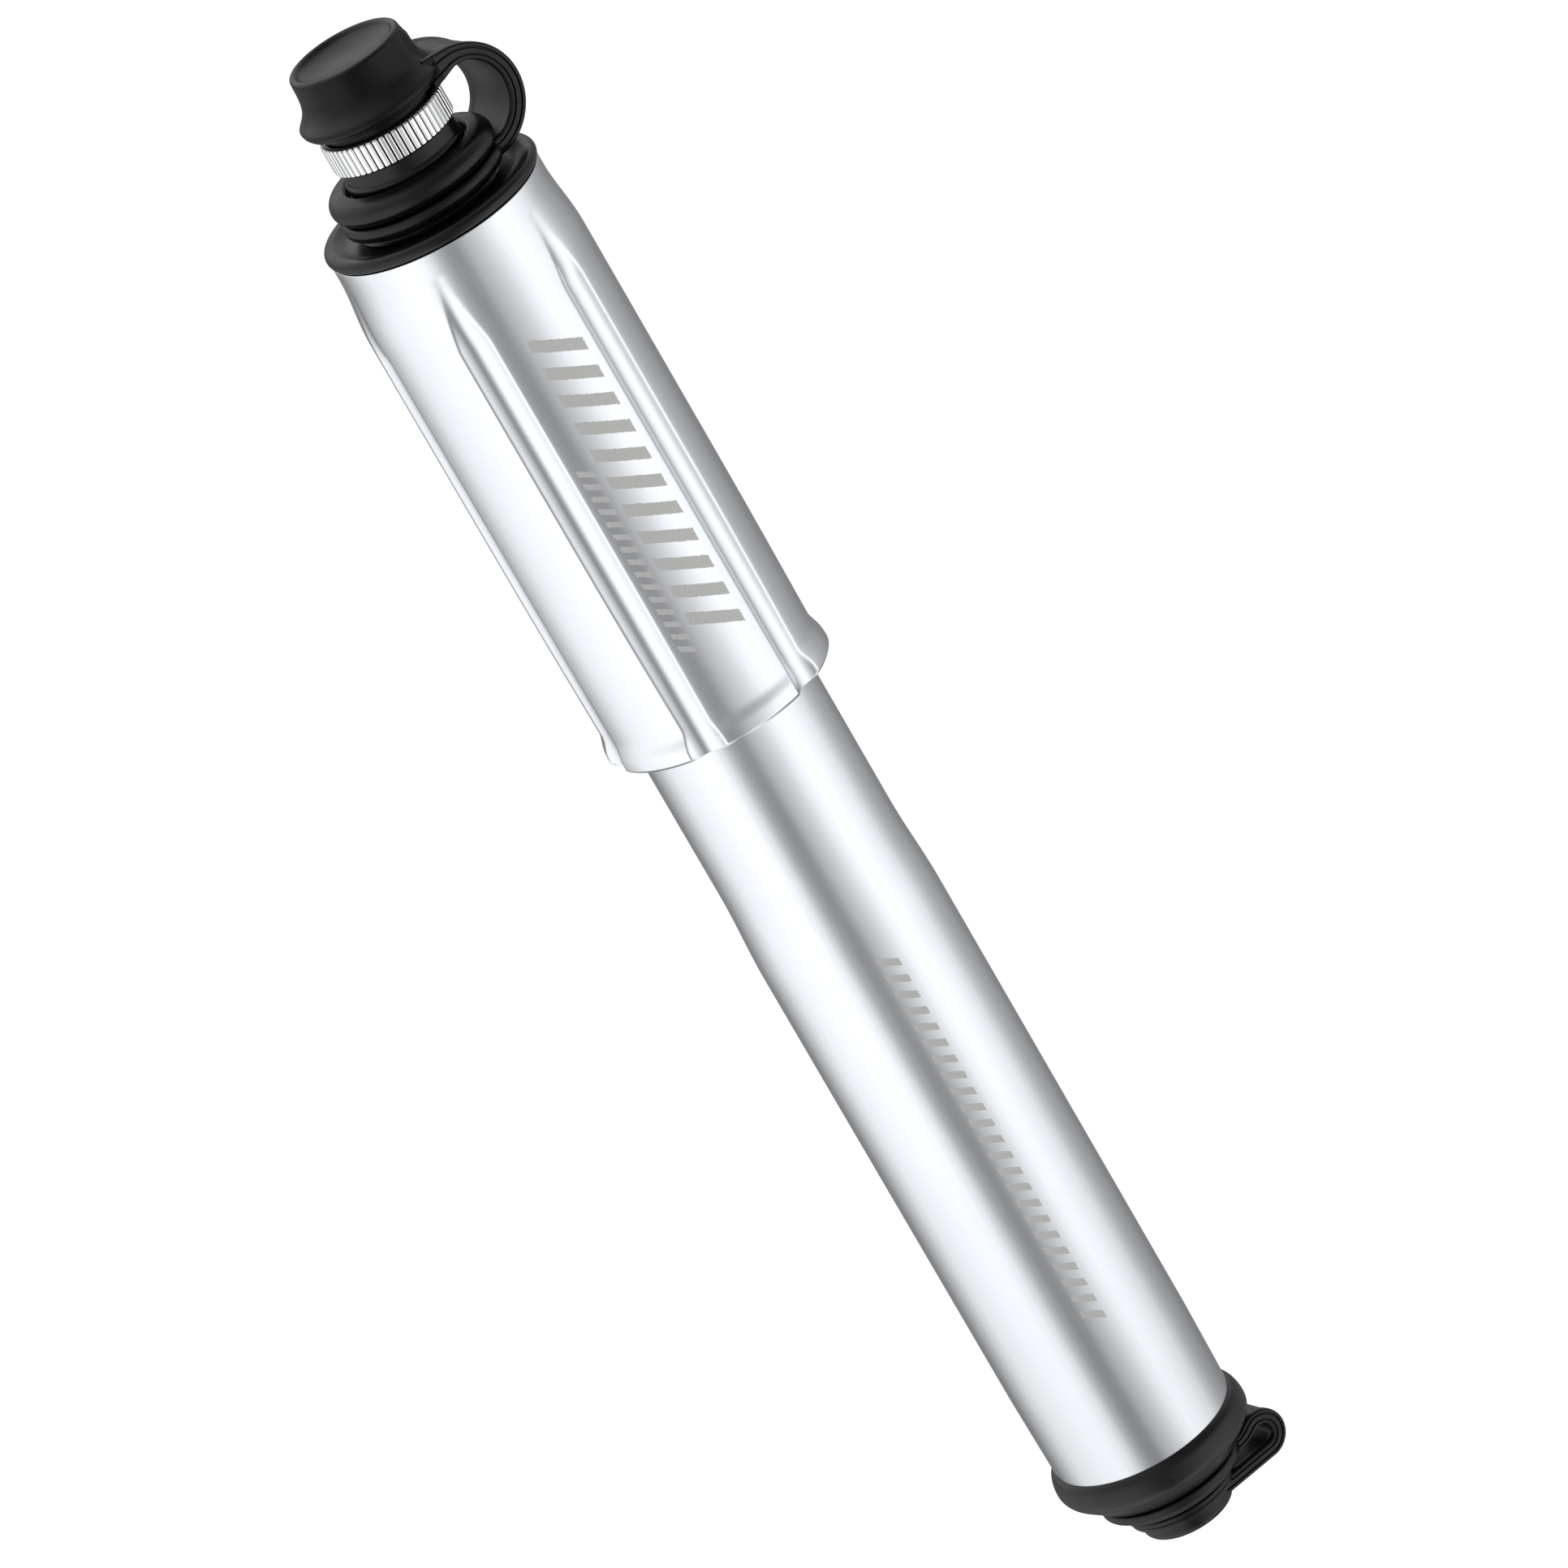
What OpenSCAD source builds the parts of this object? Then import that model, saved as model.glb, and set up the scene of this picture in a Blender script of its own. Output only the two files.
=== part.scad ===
// Hand pump for bicycle tyres: a barrel, a fluted handle that slides over it,
// and a hose stored inside the hollow piston rod, closed by rubber caps on straps.
// Millimetres. The pump's axis is Z, the handle is up, and z = 0 is the flat end of the bottom plug.
// The rubber straps loop out towards +X.

/* [Barrel] */
// Outer diameter of the barrel's lower part
barrel_d = 24.2; // [24:0.1:24.4]
// Outer diameter of the necked upper part
neck_d = 23.35; // [23:0.05:23.6]
// Outer diameter where the tube enters the bottom end cap
barrel_foot_d = 23.8; // [23.7:0.05:23.9]
// Bore that the piston runs in
bore_d = 20; // [19.9:0.05:20.1]
// Height of the visible lower edge of the tube
tube_edge_z = 13.35; // [13:0.05:13.6]
// Height where the barrel begins to narrow
neck_start_z = 88.7; // [80:0.1:95]
// Height where the neck reaches its full size
neck_end_z = 101; // [98:0.5:110]
// Height of the tube's upper end, hidden in the handle
tube_top_z = 181; // [178:0.5:181.5]

/* [Bottom end cap and plug] */
// Widest radius of the end cap's rounded bead
bead_r = 13; // [12.6:0.1:13.4]
// Height of the bead's widest place
bead_z = 10.9; // [10.5:0.1:11.3]
// Radius of the end cap's boss
boss_r = 7; // [6.8:0.1:7]
// Radius of the bottom tether ring
bottom_ring_r = 9.45; // [9.2:0.05:9.6]
// Radius of the plug's flange
plug_flange_r = 7.35; // [7:0.05:7.6]
// Radius of the plug's end disc
plug_disc_r = 6; // [5.5:0.1:6.2]

/* [Threads] */
// Radius of the threaded port in the bottom end, for the hose
port_r = 3.85; // [3.7:0.05:4]
// Radius of the threaded mouth of the chuck, for a tyre valve
valve_r = 3.9; // [3.8:0.05:4]

/* [Handle] */
// Height of the handle sleeve's lower edge
handle_bottom_z = 122.5; // [118:0.5:126]
// Height of the handle sleeve's upper edge
handle_top_z = 193.6; // [193:0.1:193.8]
// Radius over the lobes
lobe_r = 14.45; // [14.3:0.05:14.6]
// Radius of the round top of the sleeve
sleeve_top_r = 13.75; // [13.6:0.05:13.9]
// Radius over the lobes just above the flared lower end
sleeve_low_r = 14.27; // [14.2:0.01:14.4]
// Radius of the flared lower end
flare_r = 14.95; // [14.7:0.05:15.2]
// Number of flutes
flutes = 6; // [4:1:8]
// Angle of the first flute from +X, in degrees
flute_start = -8; // [-30:1:30]
// Radius from the axis to the floor of a flute
flute_floor_r = 13.6; // [13.4:0.05:13.8]
// Radius of the round tool that cuts a flute
flute_tool_r = 2.85; // [2.4:0.05:3.4]
// Radius of the rounded flange above the sleeve
flange_r = 14.05; // [13.9:0.05:14.2]

/* [Rod, piston and hose] */
// Outer radius of the hollow piston rod
rod_r = 6.5; // [6.4:0.05:6.6]
// Inner radius of the hollow piston rod
rod_in_r = 5.3; // [5.25:0.05:5.4]
// Height of the piston's lower face when the pump is closed
piston_z = 25; // [24.5:0.1:26]
// Outer radius of the hose
hose_r = 3.8; // [3.5:0.1:4]
// Inner radius of the hose
hose_in_r = 1.9; // [1.8:0.05:2]

/* [Hose head and cap] */
// Radius over the knurl of the chuck ring
knurl_r = 7.93; // [7.8:0.01:8.1]
// Number of knurl ridges
knurl_count = 58; // [50:1:90]
// Outer radius of the bulging collar under the chuck
collar_r = 10.8; // [10.5:0.1:11]
// Outer radius of the top tether ring
top_ring_r = 10.5; // [10.2:0.1:10.8]
// Widest radius of the cap
cap_r = 9.1; // [8.9:0.05:9.3]
// Height of the top of the cap: the overall length
cap_top_z = 216; // [215.5:0.1:216.5]

/* [Straps] */
// Width of the top strap
top_strap_w = 10.5; // [9:0.1:11]
// Thickness of the top strap
top_strap_t = 2.1; // [1.8:0.05:2.3]
// Width of the bottom strap
bottom_strap_w = 10; // [9:0.1:11]
// Thickness of the bottom strap
bottom_strap_t = 1.9; // [1.7:0.05:2]

/* [Hidden] */
$fn = 96;

// Radial gap between two parts that are fixed to each other
snug = 0.02;
// Radial gap of a part that runs in another
running = 0.05;
// Amount by which a cutting tool overshoots the surface it opens
over = 1;
// Straight steps in one curved stretch of a turned outline
steps = 9;
// Wire sections in one turn of a coil, and sides of the wire
coil_steps = 14;
coil_sides = 8;

bore_r = bore_d / 2;
foot_r = barrel_foot_d / 2;

// Bottom end
tube_bottom_z = tube_edge_z - 3.5;
bead_low_r = 9.5;
bead_round = 2;
bead_low_z = 6.8;
boss_z = 4.2;
spigot_top_z = piston_z - 1;
end_o_ring_z = spigot_top_z - 3.5;
insert_r = boss_r - 1.8;
insert_z = 6;
insert_top_z = 17;
port_len = 9;
chamber_r = 3;
chamber_top_z = 21.5;
poppet_top_z = chamber_top_z - 0.6;

// Handle, rod and piston
sleeve_in_r = 12.42;
rod_top_z = handle_top_z - 6.1;
socket_r = 7.2;
socket_top_z = handle_top_z + 1.95;
piston_top_z = piston_z + 11;
gland_z = tube_top_z - 11;
gland_top_z = tube_top_z + 2;
wiper_z = tube_top_z - 2.5;
wiper_h = 2;
wiper_groove_r = rod_r + 1.5;
screw_r = 2;
seal_groove_z = piston_z + 5.5;

// Hose head, counted up from the top of the handle
collar_z = socket_top_z + 2;
collar_top_z = collar_z + 3.25;
collar_mid_z = (collar_z + collar_top_z) / 2;
neck_r = 7.6;
recess_z = collar_top_z - 1.2;
swivel_r = 5.55;
clip_room_r = 6.3;
head_bottom_z = handle_top_z - 5.4;
ring_z = collar_top_z + 2.5;
ring_top_z = ring_z + 3.8;
ring_seat_r = 6.92;
mouth_r = 7.2;
core_top_z = ring_z + 1.9;
thread_len = 6.2;
gasket_z = core_top_z - 11.6;
gasket_h = 1.8;
gasket_r = 4.2;
swivel_seal_z = gasket_z + 1;
clip_z = head_bottom_z + 1.6;
clip_groove_r = 4.9;
clip_groove_h = 0.8;

// Hose
hose_bottom_z = 66;
hose_top_z = 168;
barb_len = 12;
barb_r = hose_in_r - snug;
duct_r = 1;
ferrule_r = 4.9;
fitting_grip_len = 6.6;
fitting_neck_len = 1.4;
fitting_neck_r = 3.2;
bleed_r = 5.1;
button_z = 178;
button_r = 1.85;
button_pocket = 3.1;

// Strap loops: circles in the XZ plane, split where they hinge
top_loop_x = 8.55;
top_loop_z = 202.9;
top_loop_r = 6.3;
bottom_loop_x = 11.5;
bottom_loop_z = 4.3;
bottom_loop_r = 2.2;
split_angle = 43;
split_gap = 0.5;

// Colours
silver = [0.78, 0.79, 0.8];
dark_metal = [0.2, 0.2, 0.21];
black_plastic = [0.06, 0.06, 0.06];
black_rubber = [0.09, 0.09, 0.09];
brass = [0.72, 0.58, 0.33];
steel = [0.6, 0.61, 0.63];

// Points along an elliptical arc about [x, z], from angle a to angle b
function arc(x, z, rx, rz, a, b) =
    [for (i = [0:steps]) let (t = a + (b - a) * i / steps) [x + rx * cos(t), z + rz * sin(t)]];

// Points of a soft S-shaped change of radius between two heights
function blend(r0, z0, r1, z1) =
    [for (i = [0:steps]) let (t = i / steps) [r0 + (r1 - r0) * (1 - cos(180 * t)) / 2, z0 + (z1 - z0) * t]];

// A point at radius r and angle a
function polar(r, a) = [r * cos(a), r * sin(a)];

// A solid turned about Z from an outline of [radius, height] points
module turned(outline) {
    rotate_extrude()
        polygon(outline);
}

// A plain ring about Z
module ring(r_out, r_in, z0, z1) {
    rotate_extrude()
        translate([r_in, z0])
            square([r_out - r_in, z1 - z0]);
}

// A round rod about Z
module rod(r, z0, z1) {
    translate([0, 0, z0])
        cylinder(r = r, h = z1 - z0);
}

// A round seal: a torus whose section radius is section_r
module o_ring(centre_r, section_r, z) {
    rotate_extrude()
        translate([centre_r, z])
            circle(r = section_r, $fn = 32);
}

// A ring whose outer edges are rounded
module soft_ring(r_out, r_in, z0, z1, edge) {
    rotate_extrude() {
        translate([r_in, z0])
            square([r_out - edge - r_in, z1 - z0]);
        translate([r_in, z0 + edge])
            square([r_out - r_in, z1 - z0 - 2 * edge]);
        translate([r_out - edge, z0 + edge])
            circle(r = edge, $fn = 32);
        translate([r_out - edge, z1 - edge])
            circle(r = edge, $fn = 32);
    }
}

// Part of a strap loop, from angle a to angle b, measured from +X towards +Z
module strap_arc(x, z, r, thickness, width, a, b) {
    translate([x, 0, z])
        rotate([90, 0, 0])
            rotate_extrude(angle = b - a, start = a)
                translate([r - thickness / 2, -width / 2])
                    square([thickness, width]);
}

// Point j of wire section i of a coil about Z
function coil_point(centre_r, wire_r, z0, z1, turns, i, j) =
    let (a = 360 * turns * i / (coil_steps * turns), b = 360 * j / coil_sides)
    let (r = centre_r + wire_r * cos(b), rise = (z1 - z0 - 2 * wire_r) * i / (coil_steps * turns))
    [r * cos(a), r * sin(a), z0 + wire_r + rise + wire_r * sin(b)];

// A coil spring about Z: round wire swept along a helix
module coil(centre_r, wire_r, z0, z1, turns) {
    last = coil_steps * turns;
    points = [for (i = [0:last], j = [0:coil_sides - 1])
        coil_point(centre_r, wire_r, z0, z1, turns, i, j)];
    sides = [for (i = [0:last - 1], j = [0:coil_sides - 1])
        let (k = (j + 1) % coil_sides, a = i * coil_sides, b = a + coil_sides)
        [a + j, b + j, b + k, a + k]];
    foot = [for (j = [0:coil_sides - 1]) j];
    head = [for (j = [coil_sides - 1:-1:0]) last * coil_sides + j];
    polyhedron(points, concat(sides, [foot, head]));
}

// ---- Barrel ----

module barrel_tube() {
    chamfer = 0.4;
    settle_z = 25;
    color(silver)
        turned(concat(
            [[bore_r, tube_bottom_z], [foot_r, tube_bottom_z], [foot_r, tube_edge_z]],
            [[barrel_d / 2, settle_z]],
            blend(barrel_d / 2, neck_start_z, neck_d / 2, neck_end_z),
            [[neck_d / 2, tube_top_z - chamfer], [neck_d / 2 - chamfer, tube_top_z], [bore_r, tube_top_z]]
        ));
}

// Rounded bead around the tube's lower end, a screwed spigot inside it, and the check valve's chamber
module barrel_end_cap() {
    groove_w = 2;
    groove_r = bore_r - 1.7;
    orifice_r = 1;
    spigot_r = bore_r - running;
    color(black_plastic)
        difference() {
            turned(concat(
                [[0, boss_z], [boss_r, boss_z], [boss_r, bead_low_z], [bead_low_r, bead_low_z]],
                arc(bead_r - bead_round, bead_z, bead_round, bead_round, -48, 0),
                arc(foot_r + snug, bead_z, bead_r - foot_r - snug, tube_edge_z - bead_z, 10, 90),
                [[foot_r + snug, tube_bottom_z], [spigot_r, tube_bottom_z]],
                [[spigot_r, end_o_ring_z - groove_w / 2], [groove_r, end_o_ring_z - groove_w / 2]],
                [[groove_r, end_o_ring_z + groove_w / 2], [spigot_r, end_o_ring_z + groove_w / 2]],
                [[spigot_r, spigot_top_z], [0, spigot_top_z]]
            ));
            rod(insert_r, boss_z - over, insert_top_z);
            rod(chamber_r, insert_top_z - over, chamber_top_z);
            rod(orifice_r, chamber_top_z - over, spigot_top_z + over);
        }
}

module end_cap_o_ring() {
    section_r = 0.8;
    color(black_rubber)
        o_ring(bore_r - snug - section_r, section_r, end_o_ring_z);
}

// Threaded metal bush that the hose screws into; its web carries the valve spring
module port_insert() {
    web_hole_r = 1.3;
    color(brass)
        difference() {
            rod(insert_r - snug, insert_z, insert_top_z);
            rod(port_r, insert_z - over, insert_z + port_len);
            rod(web_hole_r, insert_z, insert_top_z + over);
        }
}

module valve_spring() {
    coil_r = 1.9;
    wire_r = 0.18;
    turns = 2.5;
    spring_top_z = poppet_top_z - 1.5;
    color(steel)
        coil(coil_r, wire_r, insert_top_z + snug, spring_top_z, turns);
}

// Check valve: a disc on a guide stem, held up against the orifice
module valve_poppet() {
    disc_r = chamber_r - 0.3;
    disc_h = 1.4;
    stem_r = 0.9;
    stem_end_z = insert_top_z - 0.8;
    color(brass)
        union() {
            rod(disc_r, poppet_top_z - disc_h, poppet_top_z);
            rod(stem_r, stem_end_z, poppet_top_z - snug);
        }
}

module poppet_seal() {
    seal_r = chamber_r - 0.8;
    color(black_rubber)
        rod(seal_r, poppet_top_z, chamber_top_z - snug);
}

// Screwed bush in the top of the barrel that guides the rod and stops the piston
module barrel_gland() {
    flange_gland_r = neck_d / 2 - 0.4;
    slot_w = 2;
    slot_depth = 1;
    color(dark_metal)
        difference() {
            union() {
                rod(bore_r - running, gland_z, tube_top_z);
                rod(flange_gland_r, tube_top_z, gland_top_z);
            }
            rod(rod_r + running, gland_z - over, gland_top_z + over);
            rod(wiper_groove_r, wiper_z, wiper_z + wiper_h);
            for (a = [0, 90])
                rotate([0, 0, a])
                    translate([0, 0, gland_top_z])
                        cube([bore_r * 3, slot_w, 2 * slot_depth], center = true);
        }
}

module gland_wiper() {
    slack = 0.1;
    color(black_rubber)
        ring(wiper_groove_r - snug, rod_r + snug, wiper_z + slack, wiper_z + wiper_h - slack);
}

// Rubber ring round the boss, with the half of the strap that stays with the barrel
module bottom_tether() {
    ring_z0 = 4.4;
    ring_z1 = 6.6;
    slim = 1.4;
    edge = 0.5;
    turn_end = 115;
    run = 3;
    trim_top_z = 9;
    color(black_rubber)
        difference() {
            union() {
                turned([
                    [boss_r + snug, ring_z0], [bottom_ring_r - slim, ring_z0],
                    [bottom_ring_r - edge / 4, ring_z1 - 2 * edge], [bottom_ring_r, ring_z1 - edge],
                    [bottom_ring_r - edge, ring_z1], [boss_r + snug, ring_z1],
                ]);
                strap_arc(bottom_loop_x, bottom_loop_z, bottom_loop_r, bottom_strap_t, bottom_strap_w,
                    -split_angle, turn_end);
                translate([bottom_loop_x, 0, bottom_loop_z])
                    rotate([0, 90 - turn_end, 0])
                        translate([-run, -bottom_strap_w / 2, bottom_loop_r - bottom_strap_t / 2])
                            cube([run, bottom_strap_w, bottom_strap_t]);
            }
            rod(boss_r + snug, ring_z0 - over, ring_z1 + over);
            rod(plug_flange_r + 3 * snug, -over, ring_z0 - 4 * snug);
            turned([
                [0, bead_low_z - snug], [bead_low_r, bead_low_z - snug],
                [bead_r - over, trim_top_z], [0, trim_top_z],
            ]);
        }
}

// Rubber dust plug for the port, with the half of the strap that moves with it
module bottom_plug() {
    flange_z = 1.6;
    flange_top_z = 4;
    face_r = 4.9;
    tip_r = insert_r - 0.5;
    tip_top_z = boss_z + 1.1;
    round_r = 0.9;
    root_x = 3.2;
    color(black_rubber)
        union() {
            turned(concat(
                [[0, 0]],
                arc(face_r, plug_disc_r - face_r, plug_disc_r - face_r, plug_disc_r - face_r, -90, 0),
                arc(plug_flange_r - round_r, flange_z + round_r, round_r, round_r, -60, 0),
                arc(plug_flange_r - round_r, flange_top_z - round_r, round_r, round_r, 10, 90),
                [[tip_r, flange_top_z], [tip_r, tip_top_z], [0, tip_top_z]]
            ));
            strap_arc(bottom_loop_x, bottom_loop_z, bottom_loop_r, bottom_strap_t, bottom_strap_w,
                -90, -split_angle - split_gap);
            translate([root_x, -bottom_strap_w / 2, bottom_loop_z - bottom_loop_r - bottom_strap_t / 2])
                cube([bottom_loop_x - root_x, bottom_strap_w, bottom_strap_t]);
        }
}

// ---- Handle, rod and piston ----

// Round at the top, with lobes between the flutes that flare at the lower edge
module handle_sleeve() {
    straight_z = handle_top_z - 1.6;
    full_z = handle_top_z - 10.6;
    taper_z = 150;
    flare_z = 126.5;
    chamfer = 0.3;
    color(silver)
        difference() {
            turned(concat(
                [[sleeve_in_r, handle_bottom_z], [flare_r - 2 * chamfer, handle_bottom_z]],
                [[flare_r, handle_bottom_z + chamfer]],
                blend(flare_r, handle_bottom_z + 2 * chamfer, sleeve_low_r, flare_z),
                blend(lobe_r, taper_z, lobe_r, taper_z + over),
                blend(lobe_r, full_z, sleeve_top_r, straight_z),
                [[sleeve_top_r, handle_top_z], [sleeve_in_r, handle_top_z]]
            ));
            for (i = [0:flutes - 1])
                rotate([0, 0, flute_start + i * 360 / flutes])
                    flute_cut();
        }
}

// The path of one flute: straight up the sleeve, then curving out of the metal near the top
module flute_cut() {
    tool_x = flute_floor_r + flute_tool_r;
    turn_z = handle_top_z - 14;
    exit_r = 90;
    exit_angle = 15;
    translate([tool_x, 0, handle_bottom_z - over])
        cylinder(r = flute_tool_r, h = turn_z - handle_bottom_z + over);
    translate([tool_x + exit_r, 0, turn_z])
        rotate([90, 0, 0])
            rotate_extrude(angle = exit_angle, start = 180 - exit_angle)
                translate([exit_r, 0])
                    circle(r = flute_tool_r);
}

// Flange and collar above the sleeve, with the rod fixed below and the hose head's socket above
module handle_end_cap() {
    rim_z = handle_top_z + 1.7;
    dish_z = handle_top_z + 0.9;
    rim_round = 0.85;
    collar_out_r = 8.8;
    spigot_z = 187;
    hub_r = 9;
    hub_z = gland_top_z + 0.9;
    color(black_plastic)
        difference() {
            turned(concat(
                [[0, hub_z], [hub_r, hub_z], [hub_r, spigot_z], [sleeve_in_r - snug, spigot_z]],
                [[sleeve_in_r - snug, handle_top_z]],
                arc(flange_r - rim_round, rim_z - rim_round, rim_round, rim_round, -90, 90),
                [[collar_out_r, dish_z], [collar_out_r, socket_top_z], [0, socket_top_z]]
            ));
            rod(rod_r + snug, hub_z - over, rod_top_z + snug);
            rod(socket_r, rod_top_z, socket_top_z + over);
        }
}

module piston_rod() {
    color(silver)
        ring(rod_r, rod_in_r, piston_top_z, rod_top_z);
}

// Closes the rod's lower end and takes the piston's screw
module rod_plug() {
    plug_len = 11;
    hole_len = 9;
    color(steel)
        difference() {
            rod(rod_in_r - snug, piston_top_z, piston_top_z + plug_len);
            rod(screw_r + snug, piston_top_z - over, piston_top_z + hole_len);
        }
}

module piston() {
    groove_w = 2.6;
    groove_r = bore_r - 2.4;
    groove_z0 = seal_groove_z - groove_w / 2;
    groove_z1 = seal_groove_z + groove_w / 2;
    piston_r = bore_r - 0.07;
    chamfer = 0.5;
    counterbore_r = 3.8;
    counterbore_depth = 3.6;
    color(black_plastic)
        difference() {
            turned([
                [0, piston_z], [piston_r - chamfer, piston_z], [piston_r, piston_z + chamfer],
                [piston_r, groove_z0], [groove_r, groove_z0], [groove_r, groove_z1], [piston_r, groove_z1],
                [piston_r, piston_top_z], [0, piston_top_z],
            ]);
            rod(screw_r + 2 * running, piston_z - over, piston_top_z + over);
            rod(counterbore_r, piston_z - over, piston_z + counterbore_depth);
        }
}

module piston_o_ring() {
    section_r = 1.18;
    color(black_rubber)
        o_ring(bore_r - snug - section_r, section_r, seal_groove_z);
}

module piston_screw() {
    head_r = 3.5;
    head_h = 3.2;
    hex_r = 1.7;
    hex_depth = 1.8;
    head_z = piston_z + 0.3;
    thread_in_plug = 8;
    color(steel)
        difference() {
            union() {
                rod(head_r, head_z, head_z + head_h);
                rod(screw_r, head_z + head_h - over, piston_top_z + thread_in_plug);
            }
            translate([0, 0, head_z - over])
                cylinder(r = hex_r, h = over + hex_depth, $fn = 6);
        }
}

module bumper() {
    bumper_r = bore_r - 0.7;
    bumper_h = 2;
    edge = 0.5;
    bumper_z = piston_top_z + 0.2;
    color(black_rubber)
        soft_ring(bumper_r, rod_r + running, bumper_z, bumper_z + bumper_h, edge);
}

// ---- Hose and its head ----

// Bulging collar that seats in the handle and carries the swivelling chuck
module hose_collar() {
    lip_r = 8.3;
    lip_fall = 0.3;
    seat_r = 9.15;
    spigot_r = socket_r - 0.08;
    clip_room_top_z = head_bottom_z + 2.6;
    color(black_rubber)
        difference() {
            turned(concat(
                [[0, head_bottom_z], [spigot_r, head_bottom_z]],
                [[spigot_r, socket_top_z + running], [neck_r, socket_top_z + running]],
                [[neck_r, collar_z]],
                arc(seat_r, collar_mid_z, collar_r - seat_r, (collar_top_z - collar_z) / 2, -90, 90),
                [[lip_r, collar_top_z - lip_fall], [lip_r, recess_z], [0, recess_z]]
            ));
            rod(swivel_r, head_bottom_z - over, recess_z + over);
            rod(clip_room_r, head_bottom_z - over, clip_room_top_z);
        }
}

// Rubber ring round the collar's neck, with the half of the strap that stays with the hose head
module top_tether() {
    ring_z0 = socket_top_z + 0.1;
    ring_z1 = collar_z - running;
    edge = 0.6;
    color(black_rubber)
        difference() {
            union() {
                soft_ring(top_ring_r, neck_r + snug, ring_z0, ring_z1, edge);
                strap_arc(top_loop_x, top_loop_z, top_loop_r, top_strap_t, top_strap_w, -90, split_angle);
            }
            rod(collar_r + running, ring_z1, collar_top_z + over);
            rod(neck_r + snug, ring_z0 - over, ring_z1 + over);
            rod(flange_r, ring_z0 - over, ring_z0);
        }
}

// Metal body between the hose and the collar, with the air bleed button's cross bore
module bleed_body() {
    flange_bleed_r = clip_room_r - snug;
    flange_top_z = head_bottom_z + 1;
    vent_r = 0.6;
    color(dark_metal)
        difference() {
            union() {
                rod(bleed_r, hose_top_z, head_bottom_z + snug);
                rod(flange_bleed_r, head_bottom_z, flange_top_z);
                rod(barb_r, hose_top_z - barb_len, hose_top_z + over);
            }
            rod(duct_r, hose_top_z - barb_len - over, flange_top_z + over);
            translate([0, -bleed_r + button_pocket, button_z])
                rotate([90, 0, 0])
                    cylinder(r = button_r + running, h = bleed_r);
            translate([0, 0, button_z])
                rotate([90, 0, 0])
                    cylinder(r = vent_r, h = bleed_r);
        }
}

// Return spring of the bleed button, at its pressed length
module bleed_spring() {
    coil_r = 1.15;
    wire_r = 0.11;
    pressed_len = 0.85;
    turns = 2;
    color(steel)
        translate([0, -bleed_r + button_pocket - snug, button_z])
            rotate([90, 0, 0])
                coil(coil_r, wire_r, 0, pressed_len, turns);
}

module bleed_button() {
    outer_y = -4.7;
    head_len = 1.1;
    stem_r = 0.45;
    stem_len = 3.1;
    color(silver)
        translate([0, outer_y, button_z])
            rotate([-90, 0, 0])
                union() {
                    rod(button_r, 0, head_len);
                    rod(stem_r, 0, stem_len);
                }
}

module hose_tube() {
    color(black_rubber)
        ring(hose_r, hose_in_r, hose_bottom_z, hose_top_z);
}

// Two crimped sleeves, one at each end of the hose
module hose_ferrules() {
    edge = 0.4;
    color(silver)
        for (z = [hose_bottom_z, hose_top_z - barb_len])
            soft_ring(ferrule_r, hose_r + snug, z + snug, z + barb_len - snug, edge);
}

// Threaded end of the hose that screws into the port
module pump_fitting() {
    thread_len_male = 8;
    thread_r = port_r - 0.08;
    grip_z = hose_bottom_z - fitting_grip_len;
    thread_top_z = grip_z - fitting_neck_len;
    thread_z = thread_top_z - thread_len_male;
    hex_r = 5;
    color(silver)
        difference() {
            union() {
                rod(thread_r, thread_z, thread_top_z);
                rod(fitting_neck_r, thread_top_z - over, grip_z);
                translate([0, 0, grip_z])
                    cylinder(r = hex_r, h = fitting_grip_len, $fn = 6);
                rod(barb_r, hose_bottom_z - over, hose_bottom_z + barb_len);
            }
            rod(duct_r, thread_z - over, hose_bottom_z + barb_len + over);
        }
}

module fitting_o_ring() {
    section_r = 0.6;
    color(black_rubber)
        o_ring(fitting_neck_r + snug + section_r, section_r,
            hose_bottom_z - fitting_grip_len - fitting_neck_len / 2);
}

// Swivelling core of the chuck: threaded mouth above, sealed spigot below
module chuck_core() {
    spigot_r = swivel_r - running;
    spigot_z = head_bottom_z + 1.2;
    seal_w = 1.8;
    seal_floor_r = 4.65;
    seal_z0 = swivel_seal_z - seal_w / 2;
    seal_z1 = swivel_seal_z + seal_w / 2;
    shoulder_z = recess_z + 0.3;
    step_z = collar_top_z + 0.6;
    slim_r = neck_r - 0.25;
    inlet_r = 1.5;
    chamfer = 0.4;
    color(black_plastic)
        difference() {
            turned([
                [0, spigot_z], [spigot_r, spigot_z], [spigot_r, clip_z], [clip_groove_r, clip_z],
                [clip_groove_r, clip_z + clip_groove_h], [spigot_r, clip_z + clip_groove_h],
                [spigot_r, seal_z0], [seal_floor_r, seal_z0], [seal_floor_r, seal_z1], [spigot_r, seal_z1],
                [spigot_r, shoulder_z], [neck_r - chamfer, shoulder_z],
                [neck_r, shoulder_z + chamfer], [neck_r, step_z], [slim_r, step_z + running],
                [slim_r, ring_z - snug], [ring_seat_r - snug, ring_z - snug],
                [ring_seat_r - snug, core_top_z], [0, core_top_z],
            ]);
            rod(valve_r, core_top_z - thread_len, core_top_z + over);
            rod(gasket_r, gasket_z, core_top_z - thread_len);
            rod(inlet_r, spigot_z - over, gasket_z + over);
        }
}

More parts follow.
